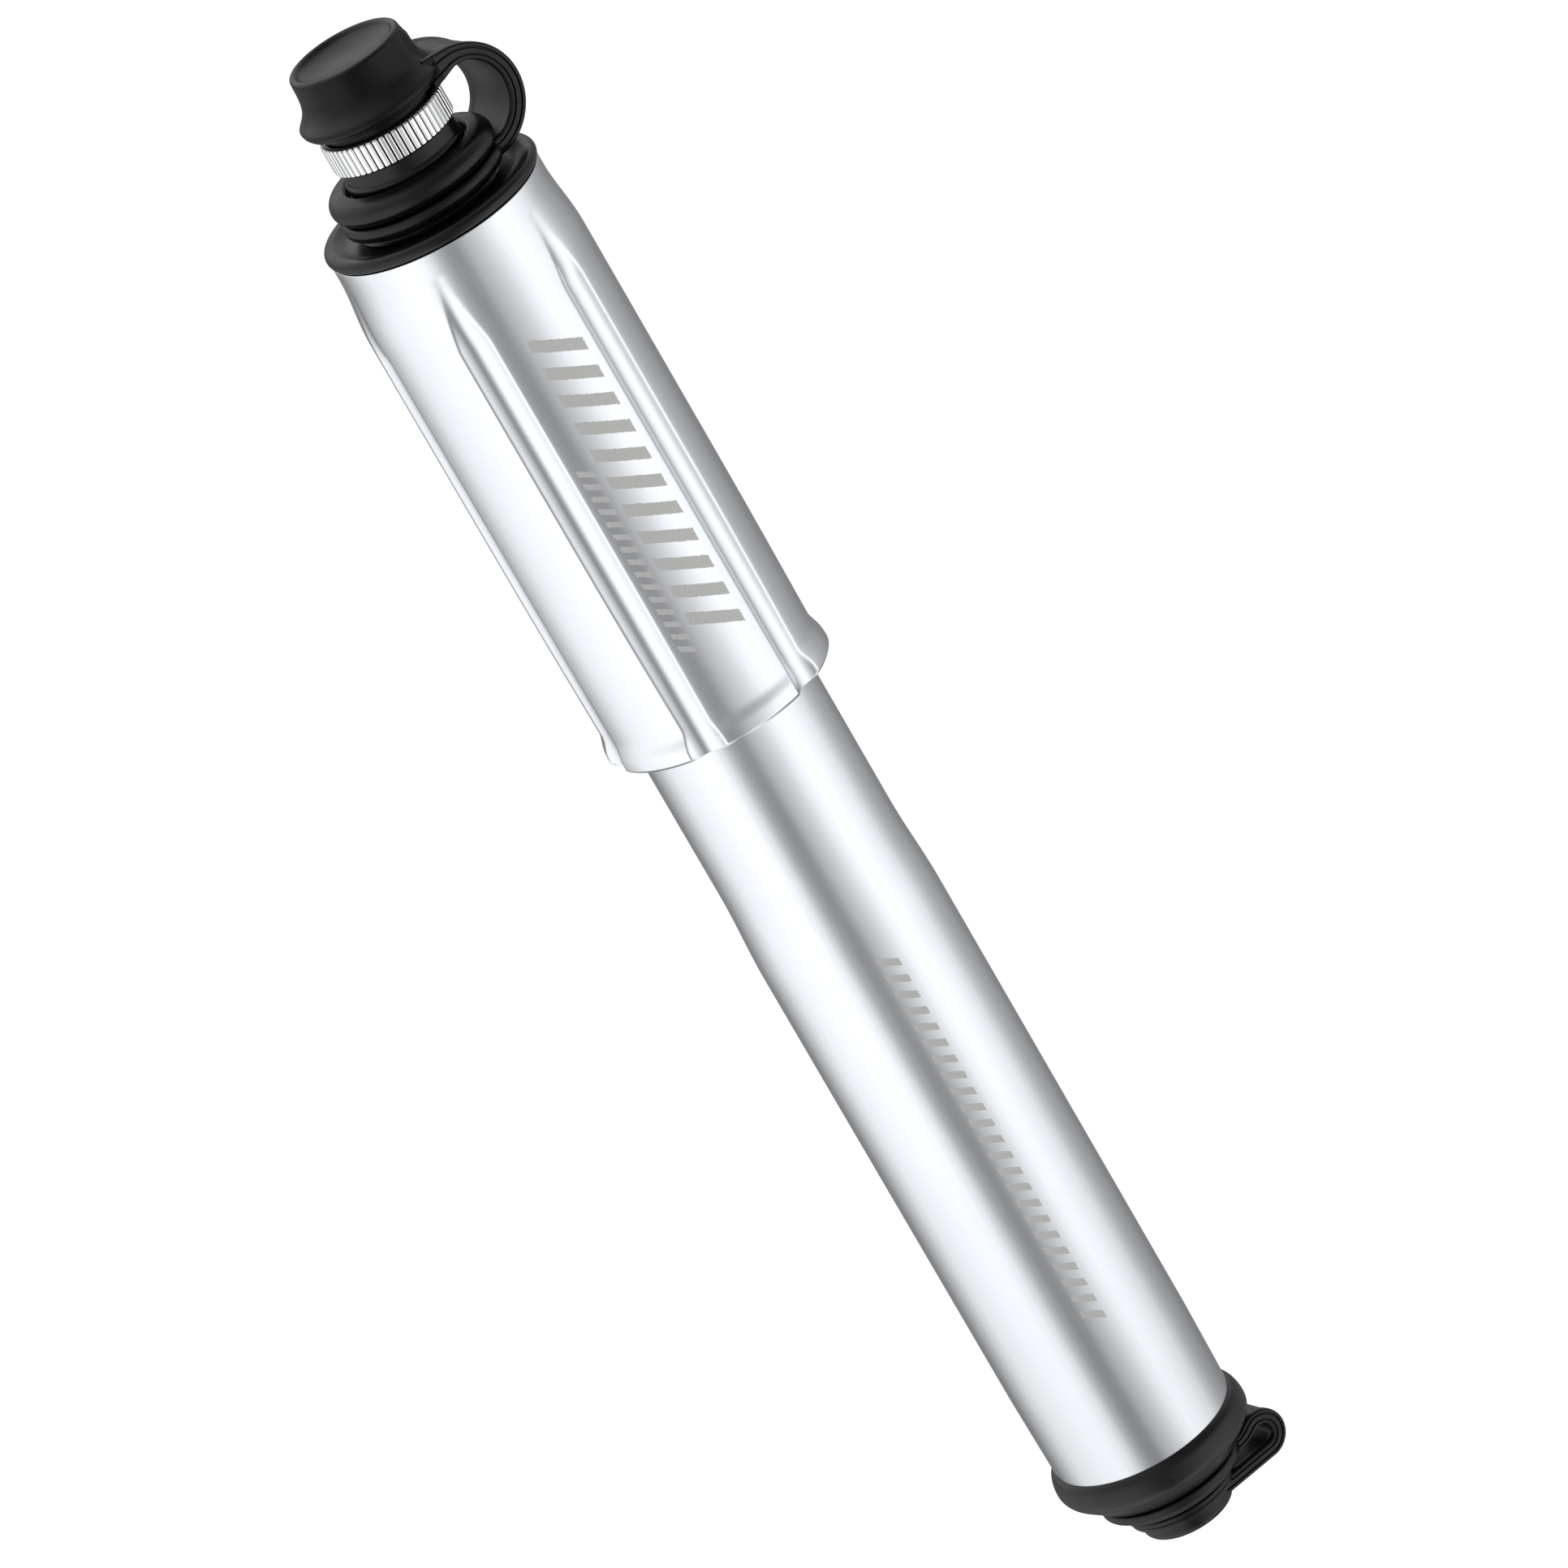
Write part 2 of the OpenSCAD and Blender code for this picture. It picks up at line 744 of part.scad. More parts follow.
// Knurled metal ring that the fingers turn
module chuck_ring() {
    pitch = 360 / knurl_count;
    valley_r = knurl_r - 0.3;
    crest = 0.25;
    flank = 0.175;
    bevel = 0.35;
    color(silver)
        difference() {
            intersection() {
                translate([0, 0, ring_z])
                    linear_extrude(height = ring_top_z - ring_z)
                        polygon([for (i = [0:knurl_count - 1], k = [0, crest, crest + flank, 1 - flank])
                            polar(k > crest ? valley_r : knurl_r, (i + k) * pitch)]);
                turned([
                    [0, ring_z], [knurl_r - bevel, ring_z], [knurl_r + bevel, ring_z + 2 * bevel],
                    [knurl_r + bevel, ring_top_z - 2 * bevel], [knurl_r - bevel, ring_top_z], [0, ring_top_z],
                ]);
            }
            rod(ring_seat_r, ring_z - over, ring_top_z + over);
            rod(mouth_r, core_top_z, ring_top_z + over);
        }
}

module chuck_gasket() {
    hole_r = 2;
    color(black_rubber)
        ring(gasket_r - snug, hole_r, gasket_z + snug, gasket_z + gasket_h);
}

// Pin on three spokes that pushes a valve open
module valve_pin() {
    spoke_z = gasket_z + gasket_h + 0.1;
    spoke_h = 0.8;
    spoke_w = 0.8;
    hoop_r = gasket_r - 1;
    pin_r = 0.6;
    pin_h = 3;
    spokes = 3;
    color(brass)
        union() {
            ring(gasket_r - snug, hoop_r, spoke_z, spoke_z + spoke_h);
            for (i = [1:spokes])
                rotate([0, 0, i * 360 / spokes])
                    translate([0, -spoke_w / 2, spoke_z])
                        cube([(hoop_r + gasket_r) / 2, spoke_w, spoke_h]);
            rod(pin_r, spoke_z, spoke_z + pin_h);
        }
}

// Open retaining ring that holds the chuck in the collar
module swivel_clip() {
    clip_h = 0.6;
    clip_z0 = clip_z + (clip_groove_h - clip_h) / 2;
    opening = 2;
    color(steel)
        difference() {
            ring(clip_room_r - 0.2, clip_groove_r + running, clip_z0, clip_z0 + clip_h);
            translate([0, -opening / 2, clip_z0 - over])
                cube([clip_room_r, opening, clip_h + 2 * over]);
        }
}

module swivel_o_ring() {
    section_r = 0.42;
    color(black_rubber)
        o_ring(swivel_r - snug - section_r, section_r, swivel_seal_z);
}

// ---- Cap ----

// Rubber cap with a dished top, with the half of the strap that moves with it
module top_cap() {
    plug_r = mouth_r - 0.3;
    plug_z = core_top_z + 0.2;
    plug_edge = 0.2;
    under_z = ring_top_z + 1;
    wide_z = cap_top_z - 6.3;
    skirt_w = 1.9;
    cove_w = 1.65;
    cove_h = 3.1;
    cove_x = cap_r + 0.1;
    cove_z = wide_z + 3.3;
    rim_r = 6.95;
    rim_round = 0.6;
    rim_foot = [rim_r + 0.35, cap_top_z - 1.9];
    dish_r = 6.2;
    dish_edge = 0.15;
    dish_floor_r = 4.4;
    dish_floor_depth = 0.8;
    dish_depth = 1.1;
    hollow_r = plug_r - 1;
    root_x = plug_r - 1;
    color(black_rubber)
        difference() {
            union() {
                turned(concat(
                    [[0, plug_z], [plug_r - plug_edge, plug_z], [plug_r, plug_z + plug_edge], [plug_r, under_z]],
                    arc(cap_r - skirt_w, wide_z, skirt_w, wide_z - under_z, -80, 0),
                    arc(cove_x, cove_z, cove_w, cove_h, -100, -170),
                    [rim_foot],
                    arc(rim_r - rim_round, cap_top_z - rim_round, rim_round, rim_round, 15, 90),
                    [[dish_r, cap_top_z - dish_edge], [dish_floor_r, cap_top_z - dish_floor_depth]],
                    [[0, cap_top_z - dish_depth]]
                ));
                strap_arc(top_loop_x, top_loop_z, top_loop_r, top_strap_t, top_strap_w,
                    split_angle + split_gap, 90);
                translate([root_x, -top_strap_w / 2, top_loop_z + top_loop_r - top_strap_t / 2])
                    cube([top_loop_x - root_x, top_strap_w, top_strap_t]);
            }
            rod(hollow_r, plug_z - over, wide_z);
        }
}

barrel_tube();
barrel_end_cap();
end_cap_o_ring();
port_insert();
valve_spring();
valve_poppet();
poppet_seal();
barrel_gland();
gland_wiper();
bottom_tether();
bottom_plug();
piston_o_ring();
handle_sleeve();
handle_end_cap();
piston_rod();
rod_plug();
piston();
piston_screw();
bumper();
hose_collar();
top_tether();
bleed_body();
bleed_spring();
bleed_button();
hose_tube();
hose_ferrules();
pump_fitting();
fitting_o_ring();
chuck_core();
chuck_ring();
chuck_gasket();
valve_pin();
swivel_clip();
swivel_o_ring();
top_cap();
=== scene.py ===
import math

import bmesh
import bpy
import numpy as np
from mathutils import Matrix, Vector


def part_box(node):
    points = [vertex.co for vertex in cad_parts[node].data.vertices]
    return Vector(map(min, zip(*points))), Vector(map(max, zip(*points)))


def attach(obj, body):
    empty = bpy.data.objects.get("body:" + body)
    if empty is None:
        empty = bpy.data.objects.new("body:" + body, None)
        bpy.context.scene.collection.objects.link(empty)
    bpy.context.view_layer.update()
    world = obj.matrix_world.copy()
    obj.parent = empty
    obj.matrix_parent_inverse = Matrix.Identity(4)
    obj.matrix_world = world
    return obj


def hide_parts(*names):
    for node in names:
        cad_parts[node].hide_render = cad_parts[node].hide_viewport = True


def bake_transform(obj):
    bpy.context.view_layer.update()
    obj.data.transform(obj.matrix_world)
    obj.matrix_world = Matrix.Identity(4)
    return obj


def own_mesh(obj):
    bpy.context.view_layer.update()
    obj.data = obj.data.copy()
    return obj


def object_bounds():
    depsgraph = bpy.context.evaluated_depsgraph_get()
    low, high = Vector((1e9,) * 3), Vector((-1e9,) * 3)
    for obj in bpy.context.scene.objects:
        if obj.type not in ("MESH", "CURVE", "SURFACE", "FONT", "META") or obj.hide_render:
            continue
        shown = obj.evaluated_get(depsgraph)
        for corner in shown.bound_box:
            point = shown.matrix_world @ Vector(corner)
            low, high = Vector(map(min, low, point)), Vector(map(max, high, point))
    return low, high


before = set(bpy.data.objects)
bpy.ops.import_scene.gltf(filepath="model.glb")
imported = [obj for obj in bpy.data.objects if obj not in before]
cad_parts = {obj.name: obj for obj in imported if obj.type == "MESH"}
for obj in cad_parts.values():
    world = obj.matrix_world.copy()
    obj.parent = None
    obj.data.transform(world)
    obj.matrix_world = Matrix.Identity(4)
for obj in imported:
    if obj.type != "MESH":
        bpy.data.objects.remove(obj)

# Hand pump for bicycle tyres. Sizes below are millimetres; MM turns them into the frame's metres.
# Heights are counted from the flat end of the bottom plug, and the rubber straps loop out towards +X.

MM = 0.001
TOUCH = 0.02    # gap between two fixed pieces whose faces meet
CAD_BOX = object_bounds()


def top(node):
    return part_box(node)[1].z / MM


def foot(node):
    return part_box(node)[0].z / MM


def radius(node):
    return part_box(node)[1].y / MM


# ---------------------------------------------------------------- sizes

TUBE_R = radius("barrel_tube")
TUBE_FOOT_R = TUBE_R - 0.2
NECK_R = TUBE_R - 0.425
BORE_R = 10.0
TUBE_EDGE_Z = foot("barrel_tube") + 3.5
NECK_START_Z = 88.7
NECK_END_Z = 101.0

BEAD_R = radius("barrel_end_cap")
BEAD_Z = TUBE_EDGE_Z - 2.45
BEAD_CONE_R = 9.5
BEAD_CONE_Z = 6.8
BOSS_R = 7.0
BOSS_Z = foot("barrel_end_cap")
BUSH_R = radius("port_insert") + TOUCH

SLEEVE_IN_R = 12.42
SLEEVE_TOP_R = 13.75
LOBE_R = 14.45
SLEEVE_LOW_R = 14.27
FLARE_R = radius("handle_sleeve")
SLEEVE_Z = foot("handle_sleeve")
SLEEVE_TOP_Z = top("handle_sleeve")
FLUTES = 6
FLUTE_START = -8.0
FLUTE_FLOOR_R = 13.6
FLUTE_TOOL_R = 2.85

FLANGE_R = radius("handle_end_cap")
SOCKET_R = 7.2
SOCKET_TOP_Z = top("handle_end_cap")
COLLAR_R = radius("hose_collar")
COLLAR_TOP_Z = top("hose_collar")
HEAD_Z = foot("hose_collar")
TOP_RING_R = 10.5
NECK_RING_R = 7.6
CHUCK_NECK_R = radius("chuck_core")
CORE_R = 6.9
THREAD_LENGTH = 6.2
KNURL_R = 7.93
KNURLS = 58
RING_Z = foot("chuck_ring")
RING_TOP_Z = top("chuck_ring")
CORE_TOP_Z = top("chuck_core")
CAP_R = radius("top_cap")
CAP_TOP_Z = top("top_cap")
CAP_FOOT_Z = foot("top_cap")

# Strap loops in the XZ plane: centre x, centre z, centreline radius, thickness, width
TOP_LOOP = (8.55, 202.9, 6.3, 2.1, 10.5)
BOTTOM_LOOP = (11.5, 4.3, 2.25, 1.9, 10.0)
TUCKED = 0.985    # scale of a strap end that lies inside the piece it joins

# The camera stands in front and a little to the left of the pump, and looks down at it
VIEW_AZIMUTH = math.radians(-112.0)
VIEW_PITCH = math.radians(21.3)
VIEW_ROLL = math.radians(30.12)


# ---------------------------------------------------------------- outlines

def rounded(corners):
    """Outline points from (radius, height, fillet) corners; a fillet turns its corner into an arc."""
    points = []
    last = len(corners) - 1
    for i, (r, z, fillet) in enumerate(corners):
        here = Vector((r, z))
        if fillet == 0 or i in (0, last):
            points.append((r, z))
            continue
        back = Vector(corners[i - 1][:2]) - here
        ahead = Vector(corners[i + 1][:2]) - here
        angle = back.angle(ahead)
        reach = min(fillet / math.tan(angle / 2), 0.48 * back.length, 0.48 * ahead.length)
        turn = math.pi - angle
        arc_r = reach * math.tan(angle / 2)
        centre = here + (back.normalized() + ahead.normalized()).normalized() * arc_r / math.sin(angle / 2)
        start = here + back.normalized() * reach - centre
        end = here + ahead.normalized() * reach - centre
        steps = max(2, round(math.degrees(turn) / 12))
        for k in range(steps + 1):
            share = k / steps
            a = math.sin((1 - share) * turn) / math.sin(turn)
            b = math.sin(share * turn) / math.sin(turn)
            points.append(tuple(centre + start * a + end * b))
    return points


def eased(r0, z0, r1, z1, steps=14):
    """A soft S-shaped change of radius between two heights."""
    points = []
    for k in range(steps + 1):
        share = k / steps
        points.append((r0 + (r1 - r0) * (1 - math.cos(math.pi * share)) / 2, z0 + (z1 - z0) * share, 0))
    return points


def arc(r, z, rx, rz, start, end, steps=14):
    """Points on an elliptical arc about (r, z), angles in degrees from outward towards up."""
    points = []
    for k in range(steps + 1):
        a = math.radians(start + (end - start) * k / steps)
        points.append((r + rx * math.cos(a), z + rz * math.sin(a), 0))
    return points


def soft_min(a, b, k):
    return (a + b - np.sqrt((a - b) ** 2 + k * k)) / 2


def soft_max(a, b, k):
    return -soft_min(-a, -b, k)


# ---------------------------------------------------------------- meshes

def lathe(outline, columns=192, closed=True, shape=None):
    """Points and faces of a solid turned about Z. shape(r, z, angle) may change the radius round the axis."""
    points, faces, rows = [], [], []
    angles = np.arange(columns) * 2 * math.pi / columns
    for r, z in outline:
        if r < 1e-6:
            rows.append([len(points)] * columns)
            points.append((0.0, 0.0, z))
            continue
        reach = np.full(columns, r) if shape is None else shape(r, z, angles)
        rows.append([len(points) + j for j in range(columns)])
        points += list(zip(reach * np.cos(angles), reach * np.sin(angles), [z] * columns))
    pairs = list(zip(rows, rows[1:] + rows[:1])) if closed else list(zip(rows, rows[1:]))
    for low, high in pairs:
        for j in range(columns):
            k = (j + 1) % columns
            face = [low[j], low[k], high[k], high[j]]
            face = [v for n, v in enumerate(face) if v != face[n - 1]]
            if len(face) > 2:
                faces.append(face)
    return points, faces


def sweep(path, section):
    """Points and faces of a strap: the section, (outward, across) pairs, carried along stations of
    (x, z, thickness scale, width scale)."""
    points, faces = [], []
    n = len(section)
    for i, (x, z, thick, wide) in enumerate(path):
        before = Vector(path[max(i - 1, 0)][:2])
        after = Vector(path[min(i + 1, len(path) - 1)][:2])
        along = (after - before).normalized()
        points += [(x + along.y * u * thick, v * wide, z - along.x * u * thick) for u, v in section]
        if i:
            a, b = (i - 1) * n, i * n
            faces += [[a + j, a + (j + 1) % n, b + (j + 1) % n, b + j] for j in range(n)]
    faces.append(list(range(n)))
    faces.append([len(points) - 1 - j for j in range(n)])
    return points, faces


def joined(*shells):
    points, faces = [], []
    for shell_points, shell_faces in shells:
        faces += [[v + len(points) for v in face] for face in shell_faces]
        points += shell_points
    return points, faces


def piece(name, shell, slot, body=None, replaces=(), look=None, sharp=42):
    """A visible piece of the pump from points and faces in millimetres, finished as its slot or as look."""
    mesh = bpy.data.meshes.new(name)
    mesh.from_pydata([tuple(c * MM for c in p) for p in shell[0]], [], shell[1])
    work = bmesh.new()
    work.from_mesh(mesh)
    bmesh.ops.recalc_face_normals(work, faces=work.faces)
    work.to_mesh(mesh)
    work.free()
    mesh.shade_smooth()
    mesh.set_sharp_from_angle(angle=math.radians(sharp))
    mesh.materials.append((look or FINISHES[slot]).material)
    made = bpy.data.objects.new(name, mesh)
    bpy.context.scene.collection.objects.link(made)
    weighted = made.modifiers.new("weighted normals", "WEIGHTED_NORMAL")
    weighted.keep_sharp = True
    if body:
        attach(made, body)
    if replaces:
        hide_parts(*replaces)
    return made


# ---------------------------------------------------------------- materials

class Look:
    """A material and its node tree, with short calls for the nodes used here."""

    def __init__(self, name, colour, metallic, roughness):
        self.material = bpy.data.materials.new(name)
        self.material.use_nodes = True
        self.tree = self.material.node_tree
        self.surface = self.tree.nodes["Principled BSDF"]
        self.set("Base Color", (*colour, 1))
        self.set("Metallic", metallic)
        self.set("Roughness", roughness)
        self.place = self.tree.nodes.new("ShaderNodeTexCoord").outputs["Object"]

    def set(self, name, value):
        if isinstance(value, bpy.types.NodeSocket):
            self.tree.links.new(value, self.surface.inputs[name])
        else:
            self.surface.inputs[name].default_value = value

    def link_into(self, name):
        """The socket that now feeds the surface's input of that name."""
        return self.surface.inputs[name].links[0].from_socket

    def feed(self, socket, value):
        if isinstance(value, bpy.types.NodeSocket):
            self.tree.links.new(value, socket)
        else:
            socket.default_value = value

    def math(self, operation, *values):
        node = self.tree.nodes.new("ShaderNodeMath")
        node.operation = operation
        for socket, value in zip(node.inputs, values):
            self.feed(socket, value)
        return node.outputs[0]

    def axes(self):
        node = self.tree.nodes.new("ShaderNodeSeparateXYZ")
        self.feed(node.inputs[0], self.place)
        return node.outputs

    def facing_up(self):
        """0 on the object's upright walls and undersides, 1 where it faces straight up."""
        node = self.tree.nodes.new("ShaderNodeTexCoord")
        parts = self.tree.nodes.new("ShaderNodeSeparateXYZ")
        self.feed(parts.inputs[0], node.outputs["Normal"])
        return self.spread(parts.outputs[2], 0.0, 1.0, 0.2, 0.85)

    def noise(self, size, stretch=(1, 1, 1), detail=3.0):
        """Noise whose grains are about size millimetres, drawn out along the stretched axes."""
        scaled = self.tree.nodes.new("ShaderNodeMapping")
        self.feed(scaled.inputs["Vector"], self.place)
        scaled.inputs["Scale"].default_value = [1 / (size * MM * s) for s in stretch]
        node = self.tree.nodes.new("ShaderNodeTexNoise")
        node.inputs["Scale"].default_value = 1.0
        node.inputs["Detail"].default_value = detail
        self.feed(node.inputs["Vector"], scaled.outputs[0])
        return node.outputs["Fac"]

    def spread(self, value, low, high, start=0.35, end=0.65):
        """Maps a value between start and end onto low to high. The default start and end suit a noise."""
        node = self.tree.nodes.new("ShaderNodeMapRange")
        for name, v in (("From Min", start), ("From Max", end), ("To Min", low), ("To Max", high)):
            self.feed(node.inputs[name], v)
        self.feed(node.inputs["Value"], value)
        return node.outputs[0]

    def mix(self, share, a, b):
        node = self.tree.nodes.new("ShaderNodeMix")
        node.data_type = "RGBA"
        self.feed(node.inputs["Factor"], share)
        self.feed(node.inputs["A"], a if isinstance(a, bpy.types.NodeSocket) else (*a, 1))
        self.feed(node.inputs["B"], b if isinstance(b, bpy.types.NodeSocket) else (*b, 1))
        return node.outputs["Result"]

    def bump(self, height, depth, after=None):
        """Bump of a height from 0 to 1, depth in millimetres."""
        node = self.tree.nodes.new("ShaderNodeBump")
        node.inputs["Strength"].default_value = 1.0
        node.inputs["Distance"].default_value = depth * MM
        self.feed(node.inputs["Height"], height)
        if after is not None:
            self.feed(node.inputs["Normal"], after)
        return node.outputs[0]


def metal(name, colour, roughness, turned=False):
    """Satin metal: fine drawn or turned streaks, faint cloudy patches in the finish and a blasted grain."""
    grain, streak = 0.0004, 0.03
    look = Look(name, colour, 1.0, roughness)
    patches = look.noise(9, (1, 1, 2.5))
    drawn = look.noise(0.25, (8, 8, 0.4) if turned else (1, 1, 60))
    darker = [c * 0.965 for c in colour]
    look.set("Base Color", look.mix(look.spread(patches, 0, 1), darker, colour))
    rough = look.spread(drawn, roughness - streak, roughness + streak)
    rough = look.math("ADD", rough, look.spread(patches, -streak / 2, streak / 2))
    look.set("Roughness", rough)
    fine = look.bump(look.noise(0.16, detail=2), grain)
    look.set("Normal", look.bump(drawn, grain, fine))
    return look


def dull(name, colour, lighter, roughness, grain=0.003, size=0.3, gloss=0.36):
    """Moulded rubber or plastic: a fine moulded grain, cloudy gloss and a little paler dust."""
    look = Look(name, colour, 0.0, roughness)
    look.set("Specular IOR Level", gloss)
    patches = look.noise(6)
    dust = look.spread(look.noise(0.7, detail=6), 0, 1, 0.58, 0.9)
    look.set("Base Color", look.mix(dust, look.mix(look.spread(patches, 0, 1), colour,
                                                   [c * 1.35 for c in colour]), lighter))
    look.set("Roughness", look.math("ADD", look.spread(patches, roughness - 0.05, roughness + 0.05),
                                    look.math("MULTIPLY", dust, 0.1)))
    look.set("Normal", look.bump(look.noise(size, detail=2), grain))
    return look


def etched(look, z0, z1, wall_r, low_deg, high_deg, pitch):
    """Share, 0 to 1, of a generic laser-etched band: slanted bars between two heights and two angles."""
    slant, bar_share = 0.6, 0.45
    x, y, z = look.axes()
    angle = look.math("SUBTRACT", look.math("ARCTAN2", y, x), VIEW_AZIMUTH)
    across = look.math("MULTIPLY", angle, wall_r * MM)
    low, high = math.radians(low_deg) * wall_r * MM, math.radians(high_deg) * wall_r * MM
    rough_edge = look.math("MULTIPLY", look.math("SUBTRACT", look.noise(0.2, detail=3), 0.5), 0.3 * MM)
    across = look.math("ADD", across, rough_edge)
    height = look.math("ADD", z, rough_edge)
    inside = look.math("GREATER_THAN", across, low)
    inside = look.math("MULTIPLY", inside, look.math("LESS_THAN", across, high))
    run = look.math("SUBTRACT", look.math("ADD", height, look.math("MULTIPLY", across, slant)), z0 * MM)
    inside = look.math("MULTIPLY", inside, look.math("GREATER_THAN", run, 0.0))
    inside = look.math("MULTIPLY", inside, look.math("LESS_THAN", run, (z1 - z0) * MM))
    bar = look.math("LESS_THAN", look.math("FRACT", look.math("DIVIDE", run, pitch * MM)), bar_share)
    return look.math("MULTIPLY", inside, bar)


def add_etching(look, share):
    """Etched places are pale, rough and no longer mirror-like."""
    etched_rough = 0.55
    grain = look.noise(0.12, detail=2)
    pale = look.mix(look.spread(grain, 0, 1), [c * 0.86 for c in ETCH], ETCH)
    look.set("Base Color", look.mix(share, look.link_into("Base Color"), pale))
    plain = look.math("MULTIPLY", look.link_into("Roughness"), look.math("SUBTRACT", 1.0, share))
    look.set("Roughness", look.math("ADD", plain, look.math("MULTIPLY", share, etched_rough)))
    look.set("Metallic", look.math("SUBTRACT", 1.0, look.math("MULTIPLY", share, 0.75)))


SILVER = (0.83, 0.845, 0.865)
ETCH = (0.62, 0.615, 0.60)
BLACK_DUST = (0.012, 0.011, 0.010)


def barrel_look():
    """Silver with painted shade: a little darker towards the lower end, with one etched band."""
    look = metal("anodised_silver_barrel", SILVER, 0.2)
    # painted shade: the base colour darkens towards the lower end of the barrel
    lower_painted_shade = look.spread(look.axes()[2], 1.0, 0.0, 14 * MM, 80 * MM)
    look.set("Base Color", look.mix(lower_painted_shade, look.link_into("Base Color"), [c * 0.85 for c in SILVER]))
    add_etching(look, etched(look, 35.3, 89.6, TUBE_R, 2.4, 14.7, 2.4))
    return look


def sleeve_look():
    """Silver with a large and a small etched band."""
    look = metal("anodised_silver_handle", SILVER, 0.2)
    large_mark = etched(look, 139.0, 180.8, LOBE_R, 6.0, 31.0, 3.9)
    small_mark = etched(look, 135.1, 161.1, LOBE_R, -4.4, 2.7, 1.8)
    add_etching(look, look.math("MAXIMUM", large_mark, small_mark))
    return look


def knurl_look():
    """Bright metal with painted shade: its knurl valleys are darker in colour."""
    look = metal("bright_knurled_silver", (0.93, 0.93, 0.93), 0.2)
    x, y = look.axes()[:2]
    reach = look.math("SQRT", look.math("ADD", look.math("MULTIPLY", x, x), look.math("MULTIPLY", y, y)))
    # painted shade in the knurl valleys: their colour is darkened
    valley = look.spread(reach, 1.0, 0.0, (KNURL_R - 0.3) * MM, (KNURL_R - 0.1) * MM)
    outside = look.math("GREATER_THAN", reach, (KNURL_R - 0.55) * MM)
    look.set("Base Color", look.mix(look.math("MULTIPLY", valley, outside), look.link_into("Base Color"),
                                    (0.2, 0.21, 0.22)))
    return look


def cap_look():
    """Rubber with a painted sheen: it reflects more on its upper faces than on its walls."""
    look = dull("cap_rubber_painted_top_sheen", (0.003, 0.0025, 0.0023), BLACK_DUST, 0.29)
    # painted sheen: stronger specular where the cap faces up, weaker on its walls
    look.set("Specular IOR Level", look.spread(look.facing_up(), 0.19, 0.6, 0.0, 1.0))
    return look


# The finish of each of the record's material slots
FINISHES = {
    "silver_aluminium": barrel_look(),
    "polished_aluminium": metal("polished_aluminium", (0.86, 0.87, 0.88), 0.14, turned=True),
    "knurled_silver": knurl_look(),
    "black_metal": metal("black_anodised_metal", (0.035, 0.036, 0.04), 0.32, turned=True),
    "black_composite": dull("black_moulded_composite", (0.0035, 0.0028, 0.0026), BLACK_DUST, 0.28),
    "cap_rubber": dull("soft_black_rubber", (0.0035, 0.0028, 0.0025), BLACK_DUST, 0.32),
    "hose_rubber": dull("ribbed_hose_rubber", (0.014, 0.014, 0.015), (0.04, 0.04, 0.04), 0.5, 0.01, 0.5),
    "seal_rubber": dull("smooth_seal_rubber", (0.012, 0.012, 0.013), (0.03, 0.03, 0.03), 0.3),
    "brass": metal("turned_brass", (0.78, 0.60, 0.30), 0.22, turned=True),
    "spring_steel": metal("drawn_spring_steel", (0.55, 0.56, 0.58), 0.25, turned=True),
}


def finish_cad_nodes():
    """Every CAD node that stays in view takes the procedural finish of its own material slot."""
    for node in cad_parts.values():
        for i, old in enumerate(node.data.materials):
            node.data.materials[i] = FINISHES[old.name.split(".")[0]].material


# ---------------------------------------------------------------- barrel and its lower end

def barrel():
    """The tube, a little slimmer at its seat in the bead and above its neck."""
    chamfer, full_z, middle_z = 0.35, 25, 57
    tube_z, end_z = foot("barrel_tube"), top("barrel_tube")
    outline = rounded(
        [(BORE_R, tube_z, 0), (TUBE_FOOT_R, tube_z, 0.2), (TUBE_FOOT_R, TUBE_EDGE_Z, 0),
         (TUBE_R, full_z, 6), (TUBE_R, middle_z, 0)]
        + eased(TUBE_R, NECK_START_Z, NECK_R, NECK_END_Z)
        + [(NECK_R, 140, 0), (NECK_R, end_z, chamfer), (BORE_R, end_z, chamfer), (BORE_R, 90, 0)])
    piece("barrel", lathe(outline, 256), "silver_aluminium", "barrel", ["barrel_tube"])


def end_cap():
    """Rounded bead round the tube's end, a cone and the boss below it, and the spigot and chamber inside."""
    spigot_r, groove_r, seal_z, seal_half = 9.95, 8.3, 20.5, 1.0
    bead_round, seat_r = 2, TUBE_FOOT_R + TOUCH
    port_end_z, chamber_r, chamber_end_z, outlet_r = 17, 3, 21.5, 1
    end_z, tube_z = top("barrel_end_cap"), foot("barrel_tube")
    outline = rounded(
        [(BUSH_R, BOSS_Z, 0), (BOSS_R, BOSS_Z, 0.35), (BOSS_R, BEAD_CONE_Z, 0.3),
         (BEAD_CONE_R, BEAD_CONE_Z + 0.05, 0.5)]
        + arc(BEAD_R - bead_round, BEAD_Z, bead_round, bead_round, -48, 0)
        + arc(seat_r, BEAD_Z, BEAD_R - seat_r, TUBE_EDGE_Z - BEAD_Z, 8, 88)
        + [(seat_r, TUBE_EDGE_Z, 0), (seat_r, tube_z, 0), (spigot_r, tube_z, 0),
           (spigot_r, seal_z - seal_half, 0), (groove_r, seal_z - seal_half, 0),
           (groove_r, seal_z + seal_half, 0), (spigot_r, seal_z + seal_half, 0),
           (spigot_r, end_z, 0.3), (outlet_r, end_z, 0), (outlet_r, chamber_end_z, 0),
           (chamber_r, chamber_end_z, 0), (chamber_r, port_end_z, 0), (BUSH_R, port_end_z, 0)])
    # painted light: the bead takes its own lighter, glossier copy of the black composite, tuned to the light
    # falling on it
    look = dull("end_cap_composite_painted_lighter", (0.0042, 0.004, 0.0042), (0.016, 0.0155, 0.0155), 0.3, gloss=0.42)
    piece("bottom_bead", lathe(outline), "black_composite", "barrel", ["barrel_end_cap"], look)


